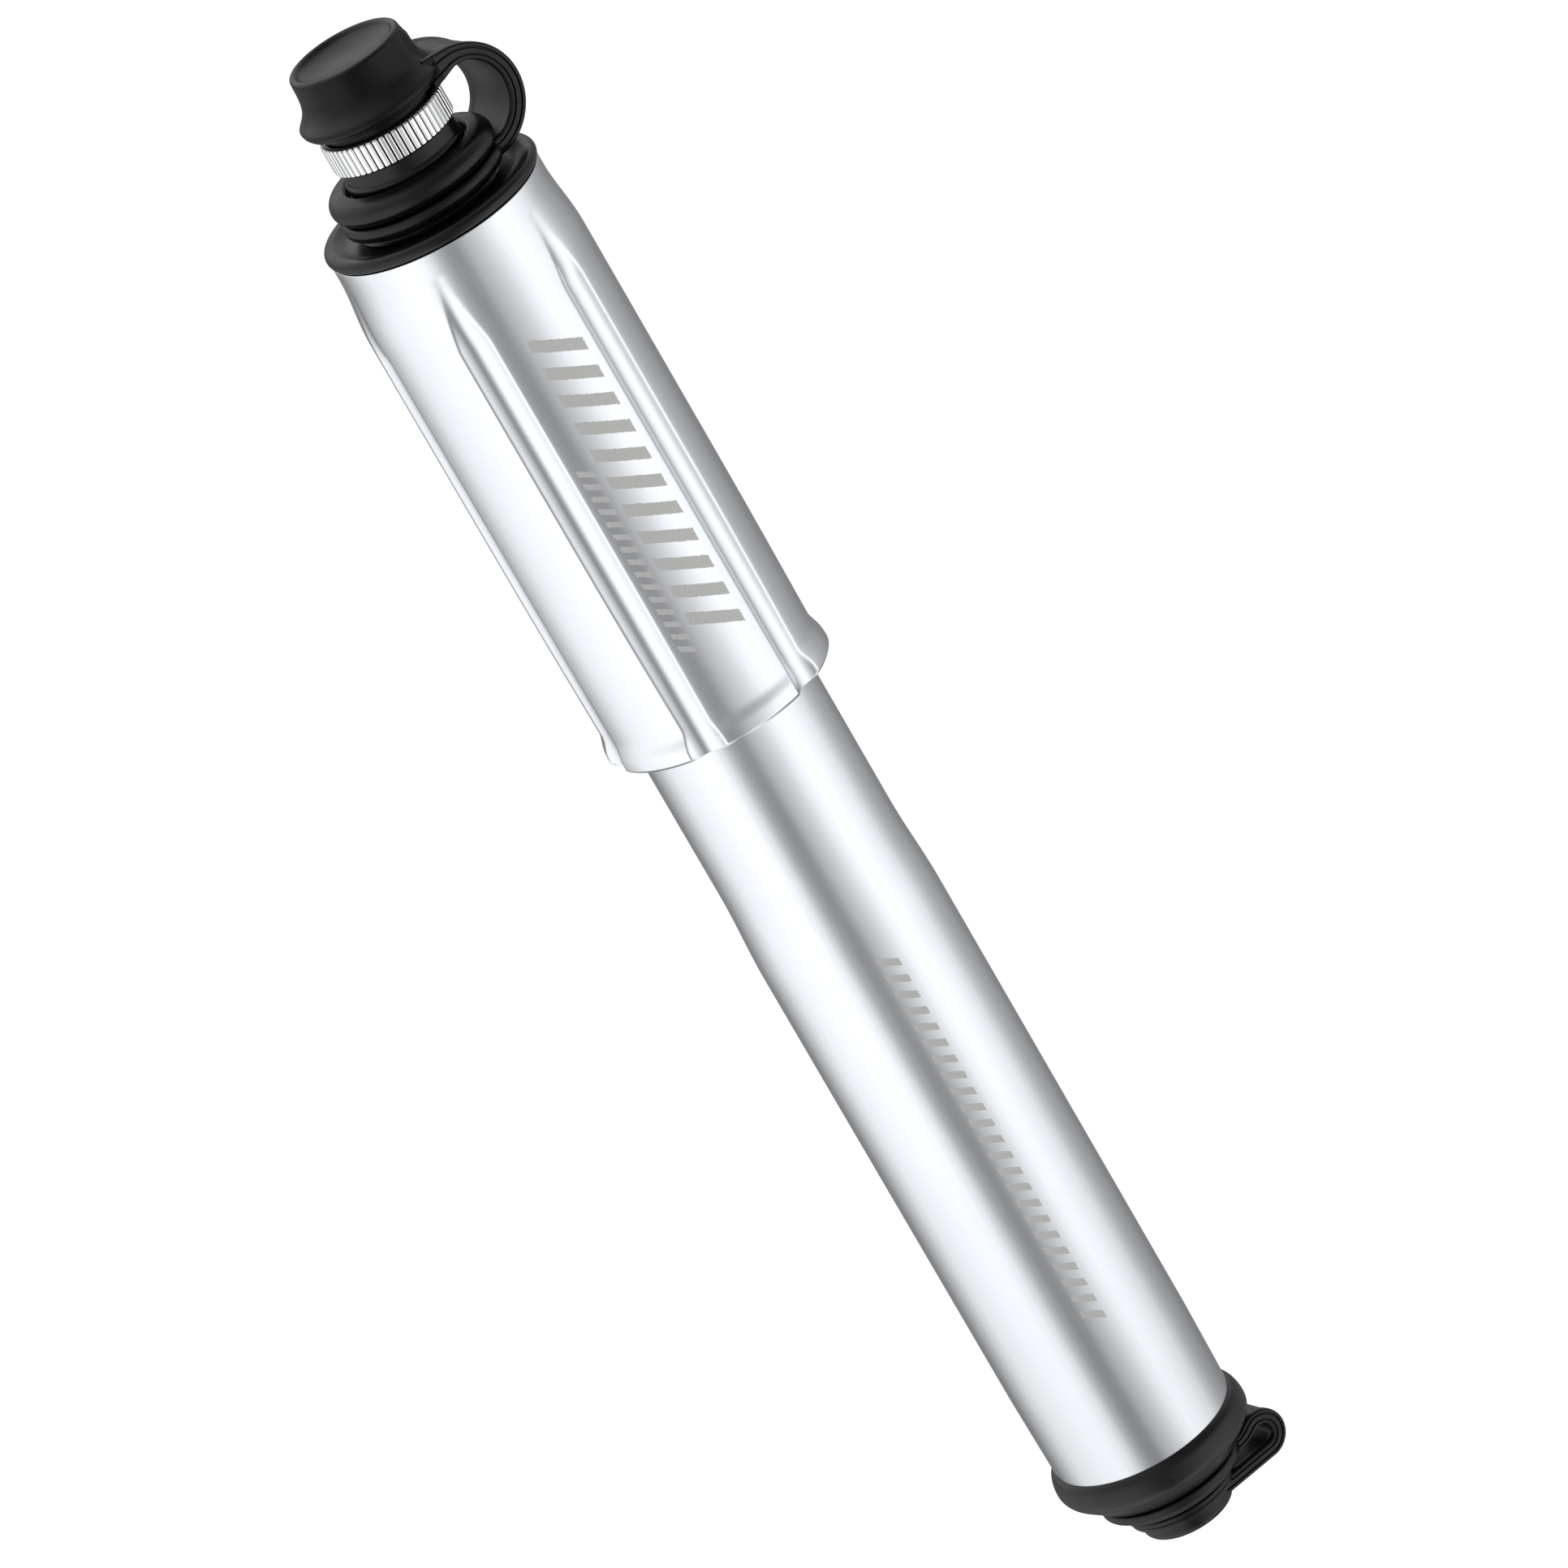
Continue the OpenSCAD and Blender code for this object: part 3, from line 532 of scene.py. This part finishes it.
def strap_section(thickness, width):
    """Flat strap with rounded edges, beads along its faces' edges and two fine grooves in each side."""
    half_t, half_w = thickness / 2, width / 2
    bead_w, groove, mouth_half, floor_half = 1.15, 0.24, 0.14, 0.04
    sunk = half_t - 0.16
    corner = 0.34

    def quarter(centre_u, start):
        turns = [math.radians(start + 22.5 * k) for k in range(5)]
        return [(centre_u + corner * math.cos(a), half_w - corner + corner * math.sin(a)) for a in turns]

    side = quarter(half_t - corner, 0)
    for offset in (0.39, -0.39):
        u = offset * half_t
        side += [(u + mouth_half, half_w), (u + floor_half, half_w - groove),
                 (u - floor_half, half_w - groove), (u - mouth_half, half_w)]
    side += quarter(-half_t + corner, 90)
    face = [(sunk, half_w - bead_w - 0.35), (half_t - 0.02, half_w - bead_w), (half_t, half_w - 0.75)]
    back = [(-u, v) for u, v in reversed(face)]
    near = [(u, -v) for u, v in reversed(face + side + back)]
    return face + side + back + near


def loop_stations(loop, start, end, steps, scale=lambda a: (1.0, 1.0)):
    """Stations round a loop from one angle to another; scale(angle) gives their thickness and width scales."""
    x, z, r = loop[:3]
    stations = []
    for k in range(steps + 1):
        a = start + (end - start) * k / steps
        stations.append((x + r * math.cos(math.radians(a)), z + r * math.sin(math.radians(a)), *scale(a)))
    return stations


def bottom_tether():
    """The ring round the boss and the strap's upper branch, which stay with the barrel."""
    r, foot_z, split, straight_end = 9.45, 4.45, 12, 118
    ring = lathe(rounded([(BOSS_R + TOUCH, foot_z, 0), (r - 1.15, foot_z, 0.35), (r - 0.75, 5.1, 0.15),
                          (r, 5.35, 0.4), (r, 6.55, 0.4), (BOSS_R + TOUCH, 6.62, 0)]))
    root = [(7.2, 5.5, 0.84, 1.0), (7.9, 5.5, 0.86, 1.0), (8.6, 5.57, 0.9, 1.0), (9.2, 5.71, 0.96, 1.0),
            (9.82, 5.96, 1.0, 1.0)]
    stations = root + loop_stations(BOTTOM_LOOP, straight_end, split, 22)
    branch = sweep(stations, strap_section(*BOTTOM_LOOP[3:]))
    piece("bottom_tether_ring", joined(ring, branch), "cap_rubber", "barrel", ["bottom_tether"])


def bottom_strap():
    """The strap's lower branch."""
    x, z, loop_r, thickness, width = BOTTOM_LOOP
    stations = loop_stations(BOTTOM_LOOP, 28, -90, 34, lambda a: (TUCKED, TUCKED) if a > 12 else (1.0, 1.0))
    stations += [(x - run, z - loop_r, 1.0, 1.0) for run in (1.0, 2.0, 3.2, 4.4, 5.6, 6.8, 8.0)]
    strap = piece("bottom_strap", sweep(stations, strap_section(thickness, width)), "cap_rubber")
    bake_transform(strap)


def bottom_plug():
    """Disc with a rounded edge, a stepped flange and the stub in the port, with the strap's root."""
    flange_r, disc_r, face_r, stub_r = radius("bottom_plug"), 6.1, 4.9, 4.7
    edge, stub_z = disc_r - face_r, top("bottom_plug")
    outline = rounded(
        [(0, 0, 0), (face_r - 0.4, 0, 0.3)] + arc(face_r, edge, edge, edge, -80, 0, 9)
        + [(disc_r + 0.05, 2.2, 0.15), (flange_r - 0.35, 2.35, 0.25), (flange_r - 0.3, 2.95, 0.12),
           (flange_r - 0.5, 3.1, 0.08), (flange_r, 3.25, 0.12), (flange_r, 3.9, 0.3), (stub_r, 4.05, 0.1),
           (stub_r, stub_z, 0.4), (0, stub_z, 0)])
    body = lathe(outline, 160, closed=False)
    z, loop_r, thickness, width = BOTTOM_LOOP[1:]
    root = sweep([(x, z - loop_r, TUCKED, TUCKED) for x in (3.0, 4.5, 5.6, 6.6, 7.4)],
                 strap_section(thickness, width))
    piece("bottom_plug_body", joined(body, root), "cap_rubber", "plug", ["bottom_plug"])


def valve_spring():
    """The check valve's coil."""
    coil_r, wire_r, turns, sides, last = 1.9, 0.18, 2.5, 12, 100
    z0, z1 = foot("valve_spring"), top("valve_spring")
    points, faces = [], []
    for i in range(last + 1):
        share = i / last
        a = 2 * math.pi * turns * share
        for j in range(sides):
            b = 2 * math.pi * j / sides
            r = coil_r + wire_r * math.cos(b)
            points.append((r * math.cos(a), r * math.sin(a),
                           z0 + wire_r + (z1 - z0 - 2 * wire_r) * share + wire_r * math.sin(b)))
        if i:
            p, q = (i - 1) * sides, i * sides
            faces += [[p + j, q + j, q + (j + 1) % sides, p + (j + 1) % sides] for j in range(sides)]
    faces += [list(range(sides)), [last * sides + j for j in reversed(range(sides))]]
    coil = piece("valve_coil", (points, faces), "spring_steel", "barrel", ["valve_spring"])
    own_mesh(coil)


# ---------------------------------------------------------------- handle

def flute_shape(r, z, angles):
    """Radius of the sleeve's outside: the lathe's radius, softly cut by the flutes."""
    if r < SLEEVE_IN_R + 0.6:
        return np.full(len(angles), r)
    pitch = 2 * math.pi / FLUTES
    off = (angles - math.radians(FLUTE_START) + pitch / 2) % pitch - pitch / 2
    turn_z, tip_z = SLEEVE_TOP_Z - 12.5, SLEEVE_TOP_Z - 3.0
    floor_r = FLUTE_FLOOR_R
    if z > turn_z:
        left = max(0.0, (tip_z - z) / (tip_z - turn_z))
        floor_r = r - (LOBE_R - FLUTE_FLOOR_R) * left ** 1.8 if left else r + 1
    tool_x = floor_r + FLUTE_TOOL_R
    side = tool_x * np.sin(off)
    inside = np.maximum(FLUTE_TOOL_R ** 2 - side ** 2, 0)
    cut = tool_x * np.cos(off) - np.sqrt(inside) + np.maximum(np.abs(side) - FLUTE_TOOL_R, 0) * 3
    return soft_min(np.full(len(angles), r), cut, 0.1)


def handle_sleeve():
    """Thin fluted sleeve that flares at its lower edge, swells gently and narrows under the flange."""
    lip_r, flare_h, narrow_z, steps = FLARE_R - 0.45, 4.2, SLEEVE_TOP_Z - 16, 24
    flare_z = SLEEVE_Z + flare_h
    outer = ([(lip_r, SLEEVE_Z, 0.3), (FLARE_R, SLEEVE_Z + 0.5, 0.3)]
             + eased(FLARE_R - 0.03, SLEEVE_Z + 1.0, SLEEVE_LOW_R, flare_z, 10))
    for k in range(1, steps):
        z = flare_z + (narrow_z - flare_z) * k / steps
        swell = min(1.0, (z - flare_z) / 24)
        outer.append((SLEEVE_LOW_R + (LOBE_R - SLEEVE_LOW_R) * math.sin(swell * math.pi / 2), z, 0))
    outer += [(LOBE_R, narrow_z + 0.45 * k, 0) for k in range(12)]
    outer += eased(LOBE_R, SLEEVE_TOP_Z - 10.6, SLEEVE_TOP_R, SLEEVE_TOP_Z - 1.6, 40)
    outline = rounded([(SLEEVE_IN_R, SLEEVE_Z, 0)] + outer
                      + [(SLEEVE_TOP_R, SLEEVE_TOP_Z, 0.15), (SLEEVE_IN_R, SLEEVE_TOP_Z, 0),
                         (SLEEVE_IN_R, SLEEVE_Z + 35, 0)])
    piece("fluted_handle", lathe(outline, 504, shape=flute_shape), "silver_aluminium", "handle",
          ["handle_sleeve"], sleeve_look())


def handle_end_cap():
    """Rounded flange over the sleeve, dished towards a short collar, with the rod's hub below."""
    rim_z = SLEEVE_TOP_Z + 1.7
    dish_z = SLEEVE_TOP_Z + 0.9
    hub_z, hub_r, spigot_z, spigot_r = foot("handle_end_cap"), 9.0, 187.0, SLEEVE_IN_R - TOUCH
    rod_r, socket_z, collar_r, rim_round = 6.52, 187.52, 8.8, 0.85
    outline = rounded(
        [(rod_r, hub_z, 0), (hub_r, hub_z, 0.3), (hub_r, spigot_z, 0), (spigot_r, spigot_z, 0.3),
         (spigot_r, SLEEVE_TOP_Z, 0), (FLANGE_R - 0.7, SLEEVE_TOP_Z + 0.01, 0.1)]
        + arc(FLANGE_R - rim_round, rim_z - rim_round, rim_round, rim_round, -78, 80, 12)
        + [(FLANGE_R - 1.5, rim_z - 0.1, 0.5), (11.2, dish_z, 1.6), (collar_r + 0.3, dish_z, 0.3),
           (collar_r, dish_z + 0.4, 0.2), (collar_r, SOCKET_TOP_Z, 0.2), (SOCKET_R, SOCKET_TOP_Z, 0.1),
           (SOCKET_R, socket_z, 0), (rod_r, socket_z, 0)])
    piece("handle_flange", lathe(outline), "black_composite", "handle", ["handle_end_cap"])


# ---------------------------------------------------------------- hose head

def hose_collar():
    """Bulging collar: a rounded outer ring, a funnel inside its lip and a floor round the chuck's neck."""
    collar_z, lip_r, bulge_r, bore_r, pocket_r = SOCKET_TOP_Z + 2, 7.95, 9.2, 5.55, 6.3
    plug_r, neck_z, pocket_z, floor_z = SOCKET_R - 0.08, SOCKET_TOP_Z + 0.05, HEAD_Z + 2.6, COLLAR_TOP_Z - 1.2
    mid_z = (collar_z + COLLAR_TOP_Z) / 2
    outline = rounded(
        [(bore_r, pocket_z, 0), (pocket_r, pocket_z, 0), (pocket_r, HEAD_Z, 0), (plug_r, HEAD_Z, 0),
         (plug_r, neck_z, 0), (NECK_RING_R, neck_z, 0), (NECK_RING_R, collar_z, 0.15)]
        + arc(bulge_r, mid_z - 0.05, COLLAR_R - bulge_r, mid_z - collar_z - 0.05, -84, 84, 18)
        + [(8.35, COLLAR_TOP_Z + 0.12, 0.35), (lip_r, COLLAR_TOP_Z - 0.25, 0.2),
           (lip_r - 0.1, floor_z, 0.2), (bore_r, floor_z, 0)])
    piece("chuck_collar", lathe(outline), "cap_rubber", "hose", ["hose_collar"])


def top_tether():
    """The ring round the collar's neck, where the strap starts."""
    z0, z1 = SOCKET_TOP_Z + 0.1, SOCKET_TOP_Z + 1.95
    ring = lathe(rounded(
        [(NECK_RING_R + TOUCH, z0, 0), (TOP_RING_R - 0.15, z0, 0.75), (TOP_RING_R, z0 + 0.9, 0.5),
         (TOP_RING_R - 0.2, z1, 0.75), (NECK_RING_R + TOUCH, z1, 0)]))
    piece("top_tether_ring", ring, "cap_rubber", "hose", ["top_tether"])


def root_flare(angle):
    """The top strap grows thicker and wider where it runs into the cap."""
    share = max(0.0, (angle - 52) / 38) ** 2
    return 1.0 + 0.32 * share, 1.0 + 0.07 * share


def top_strap():
    """The wide loop between the ring and the cap."""
    x, z, loop_r, thickness, width = TOP_LOOP
    stations = loop_stations(TOP_LOOP, -91, 90, 76, root_flare)
    stations += [(x - run, z + loop_r, 1.32 + 0.2 * run, 1.07 + 0.04 * run) for run in (0.5, 1.0, 1.6)]
    strap = piece("top_strap", sweep(stations, strap_section(thickness, width)), "cap_rubber")
    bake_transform(strap)


def chuck_thread(r, z, angles):
    """Helical thread inside the chuck's mouth."""
    pitch, depth = 0.8, 0.11
    bore = r < 4.15 and CORE_TOP_Z - THREAD_LENGTH + 0.1 < z < CORE_TOP_Z - 0.3
    if not bore:
        return np.full(len(angles), r)
    turn = (z / pitch - angles / (2 * math.pi)) % 1.0
    return r - 2 * depth * np.abs(turn - 0.5)


def chuck_core():
    """Spigot with grooves for its clip and seal, a stepped neck and a threaded mouth."""
    spigot_r, spigot_z, inner_r, gasket_r, air_r = 5.5, foot("chuck_core"), 3.98, 4.2, 1.5
    clip_z0, clip_z1, clip_r = spigot_z + 0.4, spigot_z + 1.2, 4.9
    seal_z0, seal_z1, seal_r = 193.7, 195.5, 4.65
    gasket_z, shoulder_z, step_z = 193.6, COLLAR_TOP_Z - 0.9, COLLAR_TOP_Z + 0.75
    slim_r, seat_z, last = CHUCK_NECK_R - 0.25, RING_Z - TOUCH, 62
    bore = [(inner_r, CORE_TOP_Z - THREAD_LENGTH * k / last, 0) for k in range(2, last + 1)]
    outline = rounded(
        [(air_r, spigot_z, 0), (spigot_r, spigot_z, 0.2), (spigot_r, clip_z0, 0), (clip_r, clip_z0, 0),
         (clip_r, clip_z1, 0), (spigot_r, clip_z1, 0), (spigot_r, seal_z0, 0), (seal_r, seal_z0, 0),
         (seal_r, seal_z1, 0), (spigot_r, seal_z1, 0), (spigot_r, shoulder_z, 0),
         (CHUCK_NECK_R, shoulder_z, 0.4), (CHUCK_NECK_R + 0.05, step_z - 0.3, 0.35),
         (slim_r, step_z, 0.25), (slim_r, seat_z, 0.2),
         (CORE_R, seat_z, 0), (CORE_R, CORE_TOP_Z, 0.3), (4.4, CORE_TOP_Z, 0.2)]
        + bore + [(gasket_r, CORE_TOP_Z - THREAD_LENGTH, 0), (gasket_r, gasket_z, 0), (air_r, gasket_z, 0)])
    piece("chuck_body", lathe(outline, 144, shape=chuck_thread), "black_metal", "chuck", ["chuck_core"],
          FINISHES["black_composite"], sharp=50)


def knurl_shape(r, z, angles):
    """Rounded ridges with narrow valleys on the ring's outside."""
    fade_r, fade, valley_w, valley_depth = 7.42, 0.3, 0.33, 0.42
    if r < fade_r - 0.12:
        return np.full(len(angles), r)
    wave = (angles * KNURLS / (2 * math.pi)) % 1.0
    valley = np.exp(-(np.sin(math.pi * wave) / valley_w) ** 2)
    share = min(1.0, max(0.0, (r - fade_r) / fade))
    return r - valley_depth * share * valley


def chuck_ring():
    """Knurled ring round the chuck's mouth, with a thin lip that stands above the mouth."""
    seat_r, lip_r = CORE_R + TOUCH, 7.2
    body = ([(seat_r, RING_Z, 0), (7.5, RING_Z, 0.05), (KNURL_R - 0.12, RING_Z + 0.02, 0.04),
             (KNURL_R, RING_Z + 0.25, 0.12)]
            + [(KNURL_R, RING_Z + 0.3 + 0.2 * k, 0) for k in range(1, 16)]
            + [(KNURL_R, RING_TOP_Z - 0.28, 0.12), (KNURL_R - 0.2, RING_TOP_Z - 0.02, 0.1),
               (7.45, RING_TOP_Z, 0.04), (lip_r, RING_TOP_Z, 0.06), (lip_r, CORE_TOP_Z, 0),
               (seat_r, CORE_TOP_Z, 0)])
    piece("knurled_ring", lathe(rounded(body), KNURLS * 12, shape=knurl_shape), "knurled_silver", "chuck",
          ["chuck_ring"], sharp=60)


def cap_shape(r, z, angles):
    """The cap's outside swells into the strap's root on the +X side."""
    if z < CAP_TOP_Z - 7.3 or z > CAP_TOP_Z - 0.9 or r < 6.5:
        return np.full(len(angles), r)
    off = (angles + math.pi) % (2 * math.pi) - math.pi
    across = np.abs(r * np.sin(off))
    above = z - (CAP_TOP_Z - 6.0)
    front = 6.85 + 3.6 * math.exp(-above / 0.9) if above > 0 else 10.45 + 1.2 * above
    window = np.where(np.abs(off) < 1.2, np.clip((5.3 - across) / 3.0, 0, 1), 0)
    window = window * window * (3 - 2 * window)
    shoulder = front / np.maximum(np.cos(off), 0.35)
    filled = soft_max(np.full(len(angles), r), np.minimum(shoulder, 11.5), 0.12)
    return r + (np.maximum(filled, r) - r) * window


def top_cap():
    """Soft cap: plug, wide skirt, waisted side, thin rounded rim and dished top, with the strap's root."""
    plug_r, hollow_r, under_z, wide_z = 6.9, 5.9, RING_TOP_Z + 1.0, CAP_TOP_Z - 6.3
    rim_r, rim_round, skirt_r, dish_r, dish_depth = 7.2, 0.55, 1.7, 6.35, 1.5
    side = []
    for k in range(1, 17):
        climb = 4.6 * k / 16
        side.append((rim_r + (CAP_R - rim_r) * math.exp(-(climb / 1.55) ** 1.25), wide_z + climb, 0))
    outline = rounded(
        [(hollow_r, CAP_FOOT_Z, 0), (plug_r, CAP_FOOT_Z, 0.25), (plug_r, under_z, 0.3),
         (plug_r + 0.6, under_z + 0.05, 0.3)]
        + arc(CAP_R - skirt_r, wide_z, skirt_r, wide_z - under_z - 0.1, -72, 0, 12)
        + side
        + arc(rim_r - rim_round, CAP_TOP_Z - rim_round, rim_round, rim_round, 0, 90, 9)
        + [(dish_r * math.cos(a), CAP_TOP_Z - 0.1 - dish_depth * math.sin(a), 0) for a in
           (math.radians(4 + 7.8 * k) for k in range(12))])
    shell = lathe(outline + [(0, wide_z), (hollow_r, wide_z)], 224, shape=cap_shape)
    x, z, loop_r, thickness, width = TOP_LOOP
    root = sweep([(px, z + loop_r, 1.3 + 0.2 * (x - px), 1.06 + 0.04 * (x - px))
                  for px in (5.4, 6.4, 7.4, 8.2)], strap_section(thickness, width))
    piece("soft_cap", joined(shell, root), "cap_rubber", "cap", ["top_cap"], cap_look())


# ---------------------------------------------------------------- scene

def floor():
    """Plain pale floor, low enough for the plug to swing open above it."""
    drop, half = 30 * MM, 30.0
    z = CAD_BOX[0].z - drop
    mesh = bpy.data.meshes.new("floor")
    corners = [(-half, -half, z), (half, -half, z), (half, half, z), (-half, half, z)]
    mesh.from_pydata(corners, [], [(0, 1, 2, 3)])
    look = Look("pale_floor", (0.9, 0.9, 0.9), 0.0, 1.0)
    look.set("Specular IOR Level", 0.0)
    cloudy = look.spread(look.noise(60), 0, 1)
    look.set("Base Color", look.mix(cloudy, (0.895, 0.895, 0.895), (0.905, 0.905, 0.905)))
    look.set("Emission Color", (1, 1, 1, 1))
    look.set("Emission Strength", 0.5)
    mesh.materials.append(look.material)
    made = bpy.data.objects.new("floor", mesh)
    bpy.context.scene.collection.objects.link(made)
    made.visible_glossy = False


# Brightness of the studio by angle in degrees from the camera's side: soft boxes and the gaps between them
STUDIO = [(-180, .19), (-150, .19), (-127, .43), (-112, .66), (-100, .80), (-79, .89), (-61, .96),
          (-44, .97), (-36, .88), (-28, .72), (-21, .43), (-13, .285), (-6, .235), (1, .24), (9, .41),
          (16, .48), (24, .58), (31, .69), (39, .83), (47, .93), (55, .97), (64, .93), (73, .87),
          (83, .79), (93, .67), (104, .46), (117, .34), (134, .27), (150, .19), (180, .19)]


def studio():
    """Soft light from all round; the camera itself sees plain white behind the floor."""
    world = bpy.data.worlds.new("studio")
    world.use_nodes = True
    bpy.context.scene.world = world
    tree = world.node_tree
    new, link = tree.nodes.new, tree.links.new

    def calc(operation, *values):
        node = new("ShaderNodeMath")
        node.operation = operation
        for socket, value in zip(node.inputs, values):
            if isinstance(value, bpy.types.NodeSocket):
                link(value, socket)
            else:
                socket.default_value = value
        return node.outputs[0]

    split = new("ShaderNodeSeparateXYZ")
    link(new("ShaderNodeTexCoord").outputs["Generated"], split.inputs[0])
    x, y, z = split.outputs
    azimuth = calc("WRAP", calc("SUBTRACT", calc("ARCTAN2", y, x), VIEW_AZIMUTH), math.pi, -math.pi)
    ramp = new("ShaderNodeValToRGB")
    link(calc("ADD", calc("DIVIDE", azimuth, 2 * math.pi), 0.5), ramp.inputs[0])
    stops = ramp.color_ramp.elements
    for angle, level in STUDIO:
        place = (angle + 180) / 360
        stop = stops[0] if place == 0 else stops[-1] if place == 1 else stops.new(place)
        stop.color = (level * 0.985, level * 0.995, level * 1.01, 1)
    high = calc("SMOOTH_MIN", calc("MAXIMUM", calc("DIVIDE", calc("SUBTRACT", z, 0.04), 0.3), 0.0), 1.0, 0.1)
    lean = calc("COSINE", calc("ADD", azimuth, math.radians(130)))
    ceiling = new("ShaderNodeCombineColor")
    for socket in ceiling.inputs:
        link(calc("MULTIPLY_ADD", lean, 0.28, 0.45), socket)
    overhead = new("ShaderNodeMix")
    overhead.data_type = "RGBA"
    link(high, overhead.inputs["Factor"])
    link(ramp.outputs[0], overhead.inputs["A"])
    link(ceiling.outputs[0], overhead.inputs["B"])
    seen = new("ShaderNodeMix")
    seen.data_type = "RGBA"
    link(new("ShaderNodeLightPath").outputs["Is Camera Ray"], seen.inputs["Factor"])
    link(overhead.outputs["Result"], seen.inputs["A"])
    seen.inputs["B"].default_value = (1, 1, 1, 1)
    background = tree.nodes["Background"]
    link(seen.outputs["Result"], background.inputs["Color"])
    background.inputs["Strength"].default_value = 1.36


def camera():
    """Long lens in front of the pump, rolled so that the pump leans to the upper left."""
    distance, height, aside = 1508.8, 697.5, 1.66
    to_camera = Vector((math.cos(VIEW_AZIMUTH), math.sin(VIEW_AZIMUTH), 0))
    right = Vector((-to_camera.y, to_camera.x, 0))
    forward = Vector((0, 0, -math.sin(VIEW_PITCH))) - to_camera * math.cos(VIEW_PITCH)
    up = right.cross(forward)
    rolled_right = right * math.cos(VIEW_ROLL) - up * math.sin(VIEW_ROLL)
    rolled_up = up * math.cos(VIEW_ROLL) + right * math.sin(VIEW_ROLL)
    data = bpy.data.cameras.new("camera")
    data.sensor_width = 36.0
    data.lens = 312.4
    data.clip_start, data.clip_end = 0.05, 200.0
    made = bpy.data.objects.new("camera", data)
    bpy.context.scene.collection.objects.link(made)
    turn = Matrix((rolled_right, rolled_up, -forward)).transposed().to_4x4()
    place = to_camera * distance + right * aside + Vector((0, 0, height))
    made.matrix_world = Matrix.Translation(place * MM) @ turn
    bpy.context.scene.camera = made


finish_cad_nodes()
barrel()
end_cap()
bottom_tether()
bottom_strap()
bottom_plug()
valve_spring()
handle_sleeve()
handle_end_cap()
hose_collar()
top_tether()
top_strap()
chuck_core()
chuck_ring()
top_cap()
floor()
studio()
camera()
bpy.context.scene.view_settings.view_transform = "Standard"
